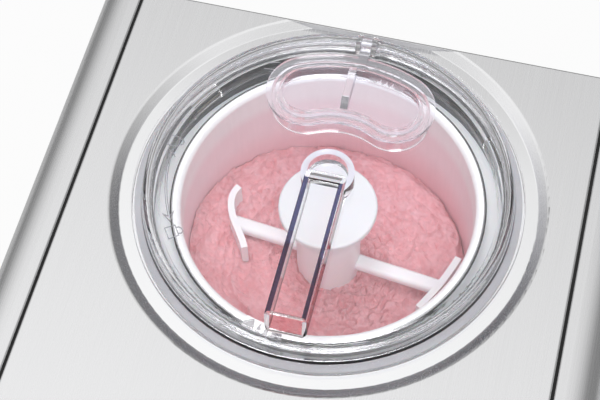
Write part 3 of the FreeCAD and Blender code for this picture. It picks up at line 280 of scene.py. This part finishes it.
clearCast = {"ior": 1.49, "grain": 60.0, "haze": 0.02, "letBy": 0.99}    # letBy: light left in a shadow


def clearPlastic(name, tint, rough=0.0, **values):
    made = Finish(name, colour=tint, **{"clear": 1.0, "ior": clearCast["ior"], **values})
    made.roughen(made.noise(clearCast["grain"]), rough, rough + clearCast["haze"])
    path = made.node("ShaderNodeLightPath")
    outer = made.node("ShaderNodeMath", operation="LESS_THAN")      # what steel mirrors passes the lid by
    outer.inputs[1].default_value = 0.5
    mirrored = made.node("ShaderNodeMath", operation="MULTIPLY")
    soft = made.node("ShaderNodeMath", operation="MAXIMUM")
    lit = made.node("ShaderNodeMath", operation="MAXIMUM")
    clear = made.node("ShaderNodeBsdfTransparent")
    clear.inputs[0].default_value = (*(clearCast["letBy"] * v for v in tint), 1)
    mix = made.node("ShaderNodeMixShader")
    made.link(path.outputs["Transmission Depth"], outer.inputs[0])
    made.link(path.outputs["Is Glossy Ray"], mirrored.inputs[0])
    made.link(outer.outputs[0], mirrored.inputs[1])
    made.link(path.outputs["Is Diffuse Ray"], soft.inputs[0])
    made.link(mirrored.outputs[0], soft.inputs[1])
    made.link(path.outputs["Is Shadow Ray"], lit.inputs[0])
    made.link(soft.outputs[0], lit.inputs[1])
    made.link(lit.outputs[0], mix.inputs[0])
    made.link(made.shader.outputs[0], mix.inputs[1])
    made.link(clear.outputs[0], mix.inputs[2])
    made.link(mix.outputs[0], made.tree.nodes["Material Output"].inputs[0])
    return made.mat


plated = {"edge": 0.1011, "soft": 0.0008, "polishHighlight": (0.89, 0.893, 0.9), "polishRough": 0.16,
          "grain": 0.000008, "fadeFrom": 0.03, "fadeTo": 0.08, "farPolishHighlight": 0.0,
          "lipFrom": 0.09, "lipTo": 0.094, "lipMetal": 0.2, "lipFacing": -0.7}


def platedTop(name, dark, light, rough, stretch):
    # brushed all over, with a smoother recess round the lid whose lighter colour is a painted highlight, and
    # a wall behind the recess made dull so that it shows no dark reflection, which is painted light
    made = Finish(name, metal=1.0)
    fine = made.noise(1.0, stretch, 4.0, 0.6)
    made.tint(fine, dark, light, 0.3, 0.7)
    made.scatter(fine, rough)
    made.bump(fine, plated["grain"])
    coord = made.node("ShaderNodeTexCoord")
    flat = made.node("ShaderNodeVectorMath", operation="MULTIPLY_ADD")
    flat.inputs[1].default_value = (1, 1, 0)
    flat.inputs[2].default_value = (0, -place["lidY"], 0)
    reach = made.node("ShaderNodeVectorMath", operation="LENGTH")
    inside = made.node("ShaderNodeMapRange")
    setRange(inside, plated["edge"] + plated["soft"], plated["edge"])
    made.link(coord.outputs["Object"], flat.inputs[0])
    made.link(flat.outputs[0], reach.inputs[0])
    made.link(reach.outputs["Value"], inside.inputs["Value"])
    depth = made.node("ShaderNodeSeparateXYZ")       # the smoother finish and its painted highlight fade out towards the back edge
    fade = made.node("ShaderNodeMapRange")
    setRange(fade, plated["fadeFrom"], plated["fadeTo"], 1.0, plated["farPolishHighlight"])
    share = made.node("ShaderNodeMath", operation="MULTIPLY")
    made.link(flat.outputs[0], depth.inputs[0])
    made.link(depth.outputs["Y"], fade.inputs["Value"])
    made.link(inside.outputs[0], share.inputs[0])
    made.link(fade.outputs[0], share.inputs[1])
    # the recess gets a lighter colour, a painted highlight, and a lower roughness
    made.blend("Base Color", share.outputs[0], plated["polishHighlight"])
    made.blend("Roughness", share.outputs[0], plated["polishRough"])
    # painted light: where the wall behind the recess faces the front it is made nearly non-metallic, so that
    # it does not mirror the dark front
    shape = made.node("ShaderNodeNewGeometry")
    way = made.node("ShaderNodeSeparateXYZ")
    facing = made.node("ShaderNodeMath", operation="LESS_THAN")
    facing.inputs[1].default_value = plated["lipFacing"]
    behind = made.node("ShaderNodeMapRange")
    setRange(behind, plated["lipFrom"], plated["lipTo"], 1.0, plated["lipMetal"])
    metal = made.node("ShaderNodeMix", data_type="FLOAT")
    metal.inputs["A"].default_value = 1.0
    made.link(shape.outputs["True Normal"], way.inputs[0])
    made.link(way.outputs["Y"], facing.inputs[0])
    made.link(depth.outputs["Y"], behind.inputs["Value"])
    made.link(facing.outputs[0], metal.inputs[0])
    made.link(behind.outputs[0], metal.inputs["B"])
    made.link(metal.outputs[0], made.shader.inputs["Metallic"])
    return made.mat


# colour and lowColour: partly a film of cream, partly a painted pink reflection of the ice cream
filmAndReflection = {"from": 0.215, "to": 0.207, "colour": (0.98, 0.86, 0.89), "lowFrom": 0.193, "lowTo": 0.17,
          "lowColour": (0.98, 0.8, 0.82), "turning": (500, 500, 40), "grain": 0.000008}


def bowlFilmAndReflection(name, dark, light, rough):
    # satin all over, with pink multiplied in below the rim and more of it close to the ice cream: partly a
    # film of cream, partly a painted pink reflection of the ice cream
    made = Finish(name, metal=0.1)
    fine = made.noise(1.0, filmAndReflection["turning"], 4.0, 0.6)
    made.tint(fine, dark, light, 0.3, 0.7)
    made.scatter(fine, rough)
    made.bump(fine, filmAndReflection["grain"])
    made.stainAndLight(filmAndReflection["from"], filmAndReflection["to"], filmAndReflection["colour"])
    return made.stainAndLight(filmAndReflection["lowFrom"], filmAndReflection["lowTo"], filmAndReflection["lowColour"]).mat


# the colour darkens the paddle from its disc up: painted light, which leaves the column below paler
milkyWithPaintedLight = {"from": 0.2, "to": 0.206, "colour": (0.885, 0.887, 0.9), "grain": 700.0, "depth": 0.00001}


def paddleWithPaintedLight(name, dark, light, rough):
    # translucent plastic with painted light: the colour is darkened on and above the disc, so the column
    # below it is painted paler
    made = Finish(name, soft=0.15, softScale=0.004)
    fine = made.noise(milkyWithPaintedLight["grain"], detail=2.0)
    made.tint(made.noise(18.0, detail=4.0), dark, light)
    made.scatter(fine, rough)
    made.bump(fine, milkyWithPaintedLight["depth"], 0.6)
    return made.stainAndLight(milkyWithPaintedLight["from"], milkyWithPaintedLight["to"], milkyWithPaintedLight["colour"]).mat


along = (4200, 12, 4200)    # grain that runs front to back
finishes = {
    "brushed_plate": platedTop("brushedPlate", (0.735, 0.735, 0.742), (0.805, 0.805, 0.812), 0.24, along),
    "brushed_side": brushed("brushedSide", (0.72, 0.72, 0.727), (0.79, 0.79, 0.797), 0.24, along, 0.000008),
    "ring_steel": brushed("darkRing", (0.07, 0.072, 0.078), (0.12, 0.122, 0.13), 0.24, (60, 60, 2400)),
    "zinc_steel": brushed("zincSteel", (0.5, 0.51, 0.53), (0.66, 0.67, 0.69), 0.35, (400, 400, 400)),
    "black_plastic": moulded("blackPlastic", (0.012, 0.012, 0.013), (0.022, 0.022, 0.024), 0.42),
    "black_gloss": moulded("blackGloss", (0.01, 0.01, 0.011), (0.02, 0.02, 0.022), 0.16),
    "seam_rubber": moulded("seamRubber", (0.006, 0.006, 0.006), (0.012, 0.012, 0.012), 0.7),
    "foot_rubber": moulded("footRubber", (0.012, 0.012, 0.012), (0.03, 0.03, 0.03), 0.75),
    "white_plastic": moulded("whitePlastic", (0.93, 0.932, 0.94), (0.97, 0.972, 0.98), 0.38, 700.0, 0.00001,
                             soft=0.15, softScale=0.004),
    "bowl_aluminium": bowlFilmAndReflection("bowlSatin", (0.91, 0.912, 0.92), (0.96, 0.962, 0.97), 0.36),
    "bowl_outside": brushed("bowlOutside", (0.7, 0.702, 0.71), (0.8, 0.802, 0.81), 0.36, filmAndReflection["turning"],
                            filmAndReflection["grain"], 0.85),
    "paddle_plastic": paddleWithPaintedLight("paddlePlastic", (0.885, 0.89, 0.905), (0.935, 0.938, 0.948), 0.38),
    # a darker steel for the outer edge of the bowl rim: a painted dark reflection
    "bowl_edge_shade": brushed("bowlEdgeShade", (0.5, 0.5, 0.515), (0.6, 0.6, 0.615), 0.16, (300, 300, 300)),
    "well_aluminium": brushed("millAluminium", (0.62, 0.63, 0.64), (0.74, 0.745, 0.755), 0.42,
                              (300, 300, 300)),
    "clear_plastic": clearPlastic("clearPlastic", (0.985, 0.985, 0.995)),
    "flap_plastic": clearPlastic("flapPlastic", (0.96, 0.955, 0.99), clear=0.88),
    # a dark violet tint on the top of the bar's walls: painted shade
    "violet_edge_shade": clearPlastic("violetEdgeShade", (0.011, 0.011, 0.046)),
    "satin_boss": clearPlastic("satinBoss", (0.74, 0.745, 0.84), clear=0.55, rough=0.3),
    # pink tints on the bar's right side and on its end: a painted reflection of the ice cream
    "rosy_edge_reflection": clearPlastic("rosyEdgeReflection", (0.9, 0.42, 0.42), ior=1.3),
    "pink_end_reflection": clearPlastic("pinkEndReflection", (0.96, 0.8, 0.8), ior=1.3),
    "thin_clear": clearPlastic("thinClear", (0.97, 0.965, 0.985), ior=1.14),
    "printed_white": moulded("printedWhite", (0.74, 0.75, 0.76), (0.84, 0.845, 0.85), 0.45),
    "embossed": clearPlastic("embossedLine", (0.45, 0.45, 0.48), clear=0.5, rough=0.25),
    "seal_silicone": moulded("sealSilicone", (0.36, 0.36, 0.38), (0.44, 0.44, 0.46), 0.5,
                             soft=0.2, softScale=0.003),
    "foam": moulded("foam", (0.66, 0.56, 0.36), (0.78, 0.7, 0.5), 0.9, 500.0, 0.0004),
    "gear_nylon": moulded("gearNylon", (0.74, 0.72, 0.62), (0.82, 0.8, 0.72), 0.45),
    "bronze": brushed("sinteredBronze", (0.5, 0.33, 0.14), (0.62, 0.44, 0.22), 0.45, (600, 600, 600)),
    "painted_steel": moulded("satinPaint", (0.012, 0.012, 0.012), (0.02, 0.02, 0.02), 0.32, 1200.0, 0.00003),
    "iron": moulded("castIron", (0.14, 0.14, 0.15), (0.24, 0.24, 0.25), 0.6, 400.0, 0.0002, metal=1.0),
    "motor_steel": brushed("platedMotor", (0.45, 0.46, 0.48), (0.6, 0.61, 0.63), 0.33, (120, 120, 900)),
    "copper": brushed("drawnCopper", (0.66, 0.3, 0.17), (0.78, 0.42, 0.27), 0.3, (500, 500, 500)),
    "board": moulded("greenBoard", (0.01, 0.1, 0.035), (0.02, 0.15, 0.06), 0.35),
    "component_black": moulded("componentBlack", (0.015, 0.015, 0.015), (0.03, 0.03, 0.03), 0.5),
    "window_glass": moulded("windowGlass", (0.008, 0.009, 0.012), (0.014, 0.016, 0.02), 0.05, 300.0, 0.0),
}


wearing = {    # which CAD nodes wear which finish
    "brushed_plate": "top_plate",
    "brushed_side": "left_side_panel right_side_panel front_panel",
    "ring_steel": "opening_ring",
    "zinc_steel": "housing_screws gearbox_screws compressor_bolts flap_pin gear_pin drive_shaft shelf"
                  " shelf_legs",
    "black_plastic": "control_panel back_panel base_plate power_switch_frame cord_gland"
                     " compressor_terminal_cover fan_shroud fan_blade",
    "black_gloss": "control_knob power_button start_button cool_button power_rocker",
    "seam_rubber": "seam_strips shaft_seal compressor_grommets",
    "foot_rubber": "feet",
    "white_plastic": "ledge_collar",
    "paddle_plastic": "mixing_paddle",
    "bowl_aluminium": "bowl",
    "well_aluminium": "cooling_well evaporator_jacket condenser_fins corner_posts",
    "clear_plastic": "lid",
    "flap_plastic": "refill_flap",
    "seal_silicone": "lid_seal",
    "foam": "insulation_block",
    "gear_nylon": "output_gear intermediate_gear motor_pinion gearbox_housing gearbox_cover",
    "bronze": "shaft_bushings",
    "painted_steel": "compressor_shell filter_drier",
    "iron": "compressor_block",
    "motor_steel": "drive_motor fan_motor",
    "copper": "condenser_tube refrigerant_lines",
    "board": "control_board",
    "component_black": "tact_switches encoder display_module",
    "window_glass": "display_window",
}


def dressNodes():
    bare = set(nodes)
    for slot, names in wearing.items():
        for name in names.split():
            mesh = nodes[name].data
            mesh.materials.clear()
            mesh.materials.append(finishes[slot])
            bare.discard(name)
    print("nodes without a finish:", sorted(bare))


dressNodes()
print("nodes dressed")


weld = {"cad": 0.000002, "turned": 0.00001, "stroke": 0.000001}     # how close points are that get merged


def copyNode(node, name):
    # a copy of a CAD mesh, with its loose triangles merged, so that it can be cut and dressed by place
    bpy.ops.object.select_all(action="DESELECT")
    piece = bpy.data.objects.new(name, nodes[node].data.copy())
    piece.data.name = name
    scene.collection.objects.link(piece)
    piece.select_set(True)
    bpy.context.view_layer.objects.active = piece
    bpy.ops.mesh.customdata_custom_splitnormals_clear()
    bpy.ops.object.mode_set(mode="EDIT")
    bpy.ops.mesh.select_mode(type="FACE")
    bpy.ops.mesh.select_all(action="SELECT")
    bpy.ops.mesh.remove_doubles(threshold=weld["cad"])
    bpy.ops.mesh.select_all(action="DESELECT")
    bpy.ops.object.mode_set(mode="OBJECT")
    return piece


def evenShade(piece, angle):
    smoothPiece(piece, angle)
    weigh = piece.modifiers.new("weigh", "WEIGHTED_NORMAL")     # flat faces keep their own normals
    weigh.mode = "FACE_AREA"
    weigh.keep_sharp = True
    bpy.ops.object.modifier_apply(modifier="weigh")


def startPiece(name, at):
    bpy.ops.object.select_all(action="DESELECT")
    bpy.ops.mesh.primitive_plane_add(size=0.001, location=at)
    piece = bpy.context.object
    piece.name = name
    piece.data.name = name
    bpy.ops.object.transform_apply(location=True, rotation=True, scale=True)
    return piece


def turnProfile(name, profile, steps, centre):
    # a plane is merged to one point, drawn out along the profile of (radius, height), then spun
    cx, cy = centre
    piece = startPiece(name, (cx + profile[0][0], cy, profile[0][1]))
    bpy.ops.object.mode_set(mode="EDIT")
    bpy.ops.mesh.select_mode(type="VERT")
    bpy.ops.mesh.select_all(action="SELECT")
    bpy.ops.mesh.merge(type="CENTER")
    for (r0, z0), (r1, z1) in zip(profile, profile[1:]):
        bpy.ops.mesh.extrude_region_move(TRANSFORM_OT_translate={"value": (r1 - r0, 0, z1 - z0)})
    bpy.ops.mesh.select_all(action="SELECT")
    bpy.ops.mesh.spin(steps=steps, angle=math.tau, center=(cx, cy, 0), axis=(0, 0, 1))
    bpy.ops.mesh.select_all(action="SELECT")
    bpy.ops.mesh.remove_doubles(threshold=weld["turned"])
    bpy.ops.mesh.normals_make_consistent(inside=False)
    bpy.ops.object.mode_set(mode="OBJECT")
    return piece


def smoothPiece(piece, angle):
    bpy.ops.object.select_all(action="DESELECT")
    piece.select_set(True)
    bpy.context.view_layer.objects.active = piece
    bpy.ops.object.shade_smooth_by_angle(angle=math.radians(angle))


clearLid = {"strips": ((-0.0097, -0.0072), (0.0072, 0.0091)), "stripStart": -0.0072, "barSide": 0.0096,
            "barTop": 0.2574, "barEnd": -0.0775, "bossIn": 0.0098, "bossOut": 0.0128, "bossTop": 0.256,
            "bossReach": 0.0132, "bossSlack": 0.0003, "panelTop": 0.2482, "crease": 28,
            "finishes": ("clear_plastic", "violet_edge_shade", "satin_boss", "rosy_edge_reflection", "thin_clear",
                         "pink_end_reflection")}


def lidFinish(face):
    # the place of the face's finish in the list: clear unless it is one of the parts named below
    spot = face.center
    out = Vector((spot.x, spot.y - place["lidY"], 0))
    slack = clearLid["bossSlack"]
    finish = "clear_plastic"
    if spot.z > clearLid["panelTop"]:
        boss = out.length < clearLid["bossReach"]
        upward = face.normal.z > 0.9 and abs(spot.z - clearLid["bossTop"]) < slack
        across = abs(face.normal.dot(out.normalized())) > 0.97
        if out.y < clearLid["barEnd"]:
            finish = "pink_end_reflection"
        elif (spot.z > clearLid["barTop"] and out.y < clearLid["stripStart"]
              and any(low < spot.x < high for low, high in clearLid["strips"])):
            finish = "violet_edge_shade"
        elif boss and upward:
            finish = "satin_boss"
        elif boss and across and out.length > clearLid["bossIn"] - 2 * slack:
            finish = "thin_clear"
        elif spot.x > clearLid["barSide"] and face.normal.x > 0.8 and out.y < -clearLid["bossOut"]:
            finish = "rosy_edge_reflection"
    return clearLid["finishes"].index(finish)


def makeLid():
    piece = copyNode("lid", "clear_lid")
    mesh = piece.data
    for x in sum(clearLid["strips"], ()):    # the top of the bar is cut along the edges of its dark strips, which are painted shade
        for face in mesh.polygons:
            face.select = face.center.z > clearLid["barTop"] and face.normal.z > 0.1
        bpy.ops.object.mode_set(mode="EDIT")
        bpy.ops.mesh.bisect(plane_co=(x, 0, 0), plane_no=(1, 0, 0))
        bpy.ops.mesh.select_all(action="DESELECT")
        bpy.ops.object.mode_set(mode="OBJECT")
    evenShade(piece, clearLid["crease"])
    mesh.materials.clear()
    for slot in clearLid["finishes"]:
        mesh.materials.append(finishes[slot])
    for face in mesh.polygons:
        face.material_index = lidFinish(face)
    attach(piece, "lid")
    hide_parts("lid")


def makeFlap():
    piece = copyNode("refill_flap", "clear_flap")
    evenShade(piece, clearLid["crease"])
    piece.data.materials.clear()
    piece.data.materials.append(finishes["flap_plastic"])
    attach(piece, "flap")
    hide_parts("refill_flap")


bowlRim = {"edge": 0.0753, "foot": 0.222, "wall": 0.0724, "crease": 30}


def makeBowl():
    piece = copyNode("bowl", "satin_bowl")
    evenShade(piece, bowlRim["crease"])
    mesh = piece.data
    mesh.materials.clear()
    for slot in ("bowl_aluminium", "bowl_edge_shade", "bowl_outside"):
        mesh.materials.append(finishes[slot])
    for face in mesh.polygons:
        # faces on the outer edge of the rim get the darker steel, a painted dark reflection
        reach = math.hypot(face.center.x, face.center.y - place["lidY"])
        if face.center.z > bowlRim["foot"]:
            face.material_index = 1 if reach > bowlRim["edge"] else 0
        else:
            face.material_index = 2 if reach > bowlRim["wall"] or face.normal.z < -0.5 else 0
    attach(piece, "bowl")
    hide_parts("bowl")


makeLid()
makeFlap()
makeBowl()
print("lid, flap and bowl dressed")


def drawStrokes(name, strokes, width, body, finish):
    # each stroke is a point drawn out along its line, raised off the surface and given its width
    lines = []
    for points, lift in strokes:
        line = startPiece(name, points[0])
        bpy.ops.object.mode_set(mode="EDIT")
        bpy.ops.mesh.select_mode(type="VERT")
        bpy.ops.mesh.select_all(action="SELECT")
        bpy.ops.mesh.merge(type="CENTER")
        for a, b in zip(points, points[1:]):
            step = [v - u for u, v in zip(a, b)]
            bpy.ops.mesh.extrude_region_move(TRANSFORM_OT_translate={"value": step})
        bpy.ops.mesh.select_all(action="SELECT")
        bpy.ops.mesh.remove_doubles(threshold=weld["stroke"])
        bpy.ops.mesh.extrude_region_move(TRANSFORM_OT_translate={"value": lift})
        bpy.ops.object.mode_set(mode="OBJECT")
        thick = line.modifiers.new("thick", "SOLIDIFY")
        thick.thickness = width
        thick.offset = 0.0
        thick.use_even_offset = True
        bpy.ops.object.modifier_apply(modifier="thick")
        lines.append(line)
    bpy.ops.object.select_all(action="DESELECT")
    for line in lines:
        line.select_set(True)
    piece = lines[0]
    bpy.context.view_layer.objects.active = piece
    bpy.ops.object.join()
    bpy.ops.object.mode_set(mode="EDIT")
    bpy.ops.mesh.select_all(action="SELECT")
    bpy.ops.mesh.normals_make_consistent(inside=False)
    bpy.ops.object.mode_set(mode="OBJECT")
    piece.name = name
    piece.data.name = name
    piece.data.materials.append(finishes[finish])
    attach(piece, body)
    return piece


lidMarks = {"z": 0.24795, "lift": 0.0003, "width": 0.00042, "arcSteps": 14, "outer": 77.4, "inner": 76.5,
            "arc": (181.0, 208.0),
            "lines": [      # (mm from the middle of the lid, degrees)
                [(75.0, 174.6), (75.0, 178.6), (80.0, 178.6), (80.0, 174.6), (75.0, 174.6)],
                [(75.0, 175.4), (73.6, 175.1), (72.8, 175.9), (72.9, 177.1), (73.9, 177.6)],
                [(75.5, 212.2), (75.5, 216.6), (80.5, 216.6), (80.5, 212.2), (75.5, 212.2)],
                [(75.5, 213.2), (74.0, 213.4), (73.0, 214.4), (73.0, 215.6), (74.0, 216.2), (75.5, 215.8)],
                [(77.4, 208.0), (79.5, 206.8), (77.2, 210.2), (74.7, 206.8), (76.5, 208.0)],
                [(77.4, 181.0), (78.5, 180.7)], [(76.5, 181.0), (74.6, 183.1)],
                [(75.1, 127.7), (72.7, 122.6)], [(72.4, 129.5), (69.2, 125.4)]]}


def markLid():
    def onLid(r, turn):
        a = math.radians(turn)
        return (r / 1000 * math.cos(a), place["lidY"] + r / 1000 * math.sin(a), lidMarks["z"])
    start, end = lidMarks["arc"]
    turns = [start + (end - start) * i / lidMarks["arcSteps"] for i in range(lidMarks["arcSteps"] + 1)]
    lines = lidMarks["lines"] + [[(lidMarks[r], t) for t in turns] for r in ("outer", "inner")]
    lift = (0, 0, lidMarks["lift"])
    strokes = [([onLid(*p) for p in line], lift) for line in lines]
    drawStrokes("lid_marks", strokes, lidMarks["width"], "lid", "embossed")


markLid()
print("lid marked")

controls = {"y": -0.1675, "sink": 0.0001, "lift": 0.0003, "width": 0.0006, "keyTop": 0.2375,
            "panelTop": 0.236, "keys": {"power_key": -0.086, "start_key": -0.056, "cool_key": 0.086}}
dial = {"x": 0.058, "top": 0.248, "radius": 0.016, "ridges": 40, "ridgeLow": 0.2385, "ridgeHigh": 0.2462,
        "ridgeIn": 0.0002, "ridgeOut": 0.0006, "ridgeWidth": 0.0008, "ticks": 11, "tickIn": 0.0185,
        "tickOut": 0.0205, "tickFrom": 225, "tickSweep": 270, "pointer": (0.006, 0.0135),
        "pointerWidth": 0.0012}
timer = {"digits": "3000", "x": (-0.0185, -0.0085, 0.0035, 0.0135), "wide": 0.0055, "high": 0.0055,
         "gap": 0.0007, "dotY": 0.0025, "dotHalf": 0.0006, "lift": 0.00015, "width": 0.0009}
signs = {"ring": 0.003, "ringFrom": 125, "ringTo": 415, "ringSteps": 14, "stroke": (0.0012, 0.0042),
         "playLeft": -0.0028, "playRight": 0.0004, "pauseX": (0.0016, 0.003), "half": 0.0022,
         "arms": 6, "arm": 0.004, "twig": (0.0036, 0.0025), "twigHalf": 0.0011}


def ring(r, start, end, steps):
    turns = [math.radians(start + (end - start) * i / steps) for i in range(steps + 1)]
    return [(r * math.cos(a), r * math.sin(a)) for a in turns]


def keySigns():
    half, left = signs["half"], signs["playLeft"]
    power = [ring(signs["ring"], signs["ringFrom"], signs["ringTo"], signs["ringSteps"]),
             [(0, y) for y in signs["stroke"]]]
    start = [[(left, -half), (left, half), (signs["playRight"], 0), (left, -half)]]
    start += [[(x, -half), (x, half)] for x in signs["pauseX"]]
    far, near = signs["twig"]
    branch = [[(0, 0), (signs["arm"], 0)], [(far, signs["twigHalf"]), (near, 0), (far, -signs["twigHalf"])]]
    cool = []
    for i in range(signs["arms"]):
        a = math.tau * i / signs["arms"]
        c, s = math.cos(a), math.sin(a)
        cool += [[(x * c - y * s, x * s + y * c) for x, y in line] for line in branch]
    return {"power_key": power, "start_key": start, "cool_key": cool}


def onPanel(line, x, z):
    return [(x + u, controls["y"] + v, z - controls["sink"]) for u, v in line]


def markControls():
    lift = (0, 0, controls["lift"])
    for body, lines in keySigns().items():
        x = controls["keys"][body]
        drawStrokes(body + "_sign", [(onPanel(line, x, controls["keyTop"]), lift) for line in lines],
                    controls["width"], body, "printed_white")
    ticks = []
    for i in range(dial["ticks"]):
        a = math.radians(dial["tickFrom"] - dial["tickSweep"] * i / (dial["ticks"] - 1))
        line = [(r * math.cos(a), r * math.sin(a)) for r in (dial["tickIn"], dial["tickOut"])]
        ticks.append((onPanel(line, dial["x"], controls["panelTop"]), lift))
    drawStrokes("dial_ticks", ticks, controls["width"], "housing", "printed_white")
    pointer = onPanel([(0, y) for y in dial["pointer"]], dial["x"], dial["top"])
    drawStrokes("knob_pointer", [(pointer, lift)], dial["pointerWidth"], "knob", "printed_white")
    ridges = []
    for i in range(dial["ridges"]):
        a = math.tau * i / dial["ridges"]
        r = dial["radius"] - dial["ridgeIn"]
        foot = (dial["x"] + r * math.cos(a), controls["y"] + r * math.sin(a))
        ridges.append(([(*foot, dial["ridgeLow"]), (*foot, dial["ridgeHigh"])],
                       (dial["ridgeOut"] * math.cos(a), dial["ridgeOut"] * math.sin(a), 0)))
    drawStrokes("knob_grip", ridges, dial["ridgeWidth"], "knob", "black_gloss")


def markDisplay():
    w, h, gap = timer["wide"], timer["high"], timer["gap"]
    corners = {"a": ((0, 2 * h), (w, 2 * h)), "b": ((w, 2 * h), (w, h)), "c": ((w, h), (w, 0)),
               "d": ((w, 0), (0, 0)), "e": ((0, 0), (0, h)), "f": ((0, h), (0, 2 * h)), "g": ((0, h), (w, h))}
    lit = {"0": "abcdef", "3": "abgcd"}
    lines = []
    for digit, x in zip(timer["digits"], timer["x"]):
        for bar in lit[digit]:
            (x0, y0), (x1, y1) = corners[bar]
            span = math.hypot(x1 - x0, y1 - y0)
            dx, dy = (x1 - x0) * gap / span, (y1 - y0) * gap / span     # the bars stop short of each other
            lines.append([(x + x0 + dx, y0 + dy - h), (x + x1 - dx, y1 - dy - h)])
    for v in (-timer["dotY"], timer["dotY"]):
        lines.append([(-timer["dotHalf"], v), (timer["dotHalf"], v)])
    lift = (0, 0, timer["lift"])
    strokes = [(onPanel(line, 0, controls["panelTop"]), lift) for line in lines]
    drawStrokes("timer_digits", strokes, timer["width"], "housing", "printed_white")


rocker = {"onX": 0.05595, "onY": 0.2088, "offX": 0.06488, "offY": 0.2077, "z": 0.055, "reach": 0.0018,
          "steps": 18, "lift": 0.0004, "width": 0.0005}


def markRocker():
    on = [(rocker["onX"], rocker["onY"], rocker["z"] + v) for v in (-rocker["reach"], rocker["reach"])]
    circle = ring(rocker["reach"], 0, 360, rocker["steps"])
    off = [(rocker["offX"] + u, rocker["offY"], rocker["z"] + v) for u, v in circle]
    lift = (0, rocker["lift"], 0)
    drawStrokes("rocker_signs", [(on, lift), (off, lift)], rocker["width"], "rocker", "printed_white")


markControls()
markDisplay()
markRocker()
print("controls marked")

churn = {"inner": 0.0158, "outer": 0.0713, "floor": 0.1084, "corner": 0.009, "level": 0.1665,
         "rings": 125, "steps": 560, "crease": 80,
         "rise": 0.0145, "riseTurn": 188.0,                                     # heaped against the left wall
         "drop": 0.006, "dropTurn": 35.0, "dropFrom": 0.0645, "dropCurve": 1.5,  # and low at the right one
         "swell": 0.0018, "swellSize": 45.0, "wander": 1.1, "wanderSize": 55.0,
         "fold": 0.0024, "foldAcross": 105.0, "foldAlong": 34.0, "foldSharp": 2.6, "foldSink": 0.2,
         "crumb": 0.0015, "crumbSize": 380.0,
         "crack": 0.0019, "crackAcross": 260.0, "crackAlong": 90.0, "crackBend": 60.0, "crackSharp": 7.0,
         "tornSize": 28.0, "tornGain": 4.0,
         "pit": 0.0028, "pitSize": 0.24, "pitGrid": 150.0, "pittedSize": 34.0, "pittedFrom": 0.12,
         "dark": (0.885, 0.42, 0.452), "light": (0.965, 0.54, 0.575), "tintFrom": 0.36, "tintTo": 0.6,
         "glow": (1.0, 0.5, 0.45), "grain": 0.0009}


def churnedTop(x, y):
    r = math.hypot(x, y)
    turn = math.atan2(y, x)
    p = Vector((x, y, 0.0))
    left = max(0.0, math.cos(turn - math.radians(churn["riseTurn"]))) ** 2
    right = max(0.0, math.cos(turn - math.radians(churn["dropTurn"])))
    edge = max(0.0, r - churn["dropFrom"]) / (churn["outer"] - churn["dropFrom"])
    h = churn["level"] + churn["rise"] * left * (r / churn["outer"]) ** 2
    h -= churn["drop"] * right * edge ** churn["dropCurve"]
    h += churn["swell"] * noise.fractal(p * churn["swellSize"], 1.0, 2.0, 3)
    wander = noise.noise(p * churn["wanderSize"]) * churn["wander"]
    swirl = Vector((r * churn["foldAcross"] + wander, turn * r * churn["foldAlong"], 1.7))
    ridge = max(0.0, 1.0 - churn["foldSharp"] * abs(noise.noise(swirl)))     # arcs that the paddle leaves
    h += churn["fold"] * (ridge ** 2 - churn["foldSink"])
    h += churn["crumb"] * noise.fractal(p * churn["crumbSize"], 0.7, 2.1, 4)
    torn = noise.noise(p * churn["tornSize"] + Vector((2.0, 9.0, 0.0)))
    if torn > 0.0:      # short cracks where the mass tears
        across = Vector((r * churn["crackAcross"], turn * r * churn["crackAlong"], 4.2))
        line = abs(noise.noise(across + p * churn["crackBend"]))
        deep = churn["crack"] * min(1.0, churn["tornGain"] * torn)
        h -= deep * max(0.0, 1.0 - churn["crackSharp"] * line)
    if noise.noise(p * churn["pittedSize"] + Vector((7.0, 3.0, 0.0))) > churn["pittedFrom"]:
        near = noise.voronoi(p * churn["pitGrid"] + Vector((wander, 0.0, 0.0)))[0][0]
        h -= churn["pit"] * max(0.0, 1.0 - near / churn["pitSize"])
    return h


def makeIceCream():
    inner, outer, low = churn["inner"], churn["outer"], churn["floor"]
    rings = churn["rings"]
    top = [(inner + (outer - inner) * i / rings, churn["level"]) for i in range(rings + 1)]
    corner = churn["corner"]
    side = [(outer, low + corner), (outer - 0.3 * corner, low + 0.3 * corner), (outer - corner, low)]
    profile = [(inner, low), *top, *side, (inner, low)]
    piece = turnProfile("ice_cream", profile, churn["steps"], (0, place["lidY"]))
    for v in piece.data.vertices:
        if v.co.z > churn["level"] - 0.0001:
            v.co.z = churnedTop(v.co.x, v.co.y - place["lidY"])
    smoothPiece(piece, churn["crease"])
    made = Finish("churnedCream", soft=0.18, softScale=0.0018, shine=0.3)
    made.shader.inputs["Subsurface Radius"].default_value = churn["glow"]
    mottle = made.noise(130.0, detail=6.0, rough=0.65, warp=0.6)
    made.tint(mottle, churn["dark"], churn["light"], churn["tintFrom"], churn["tintTo"])
    made.roughen(made.noise(300.0), 0.45, 0.65)
    made.bump(made.noise(700.0, detail=6.0, rough=0.75, warp=0.9), churn["grain"])
    piece.data.materials.append(made.mat)
    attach(piece, "paddle")
    return piece


makeIceCream()
print("ice cream churned")
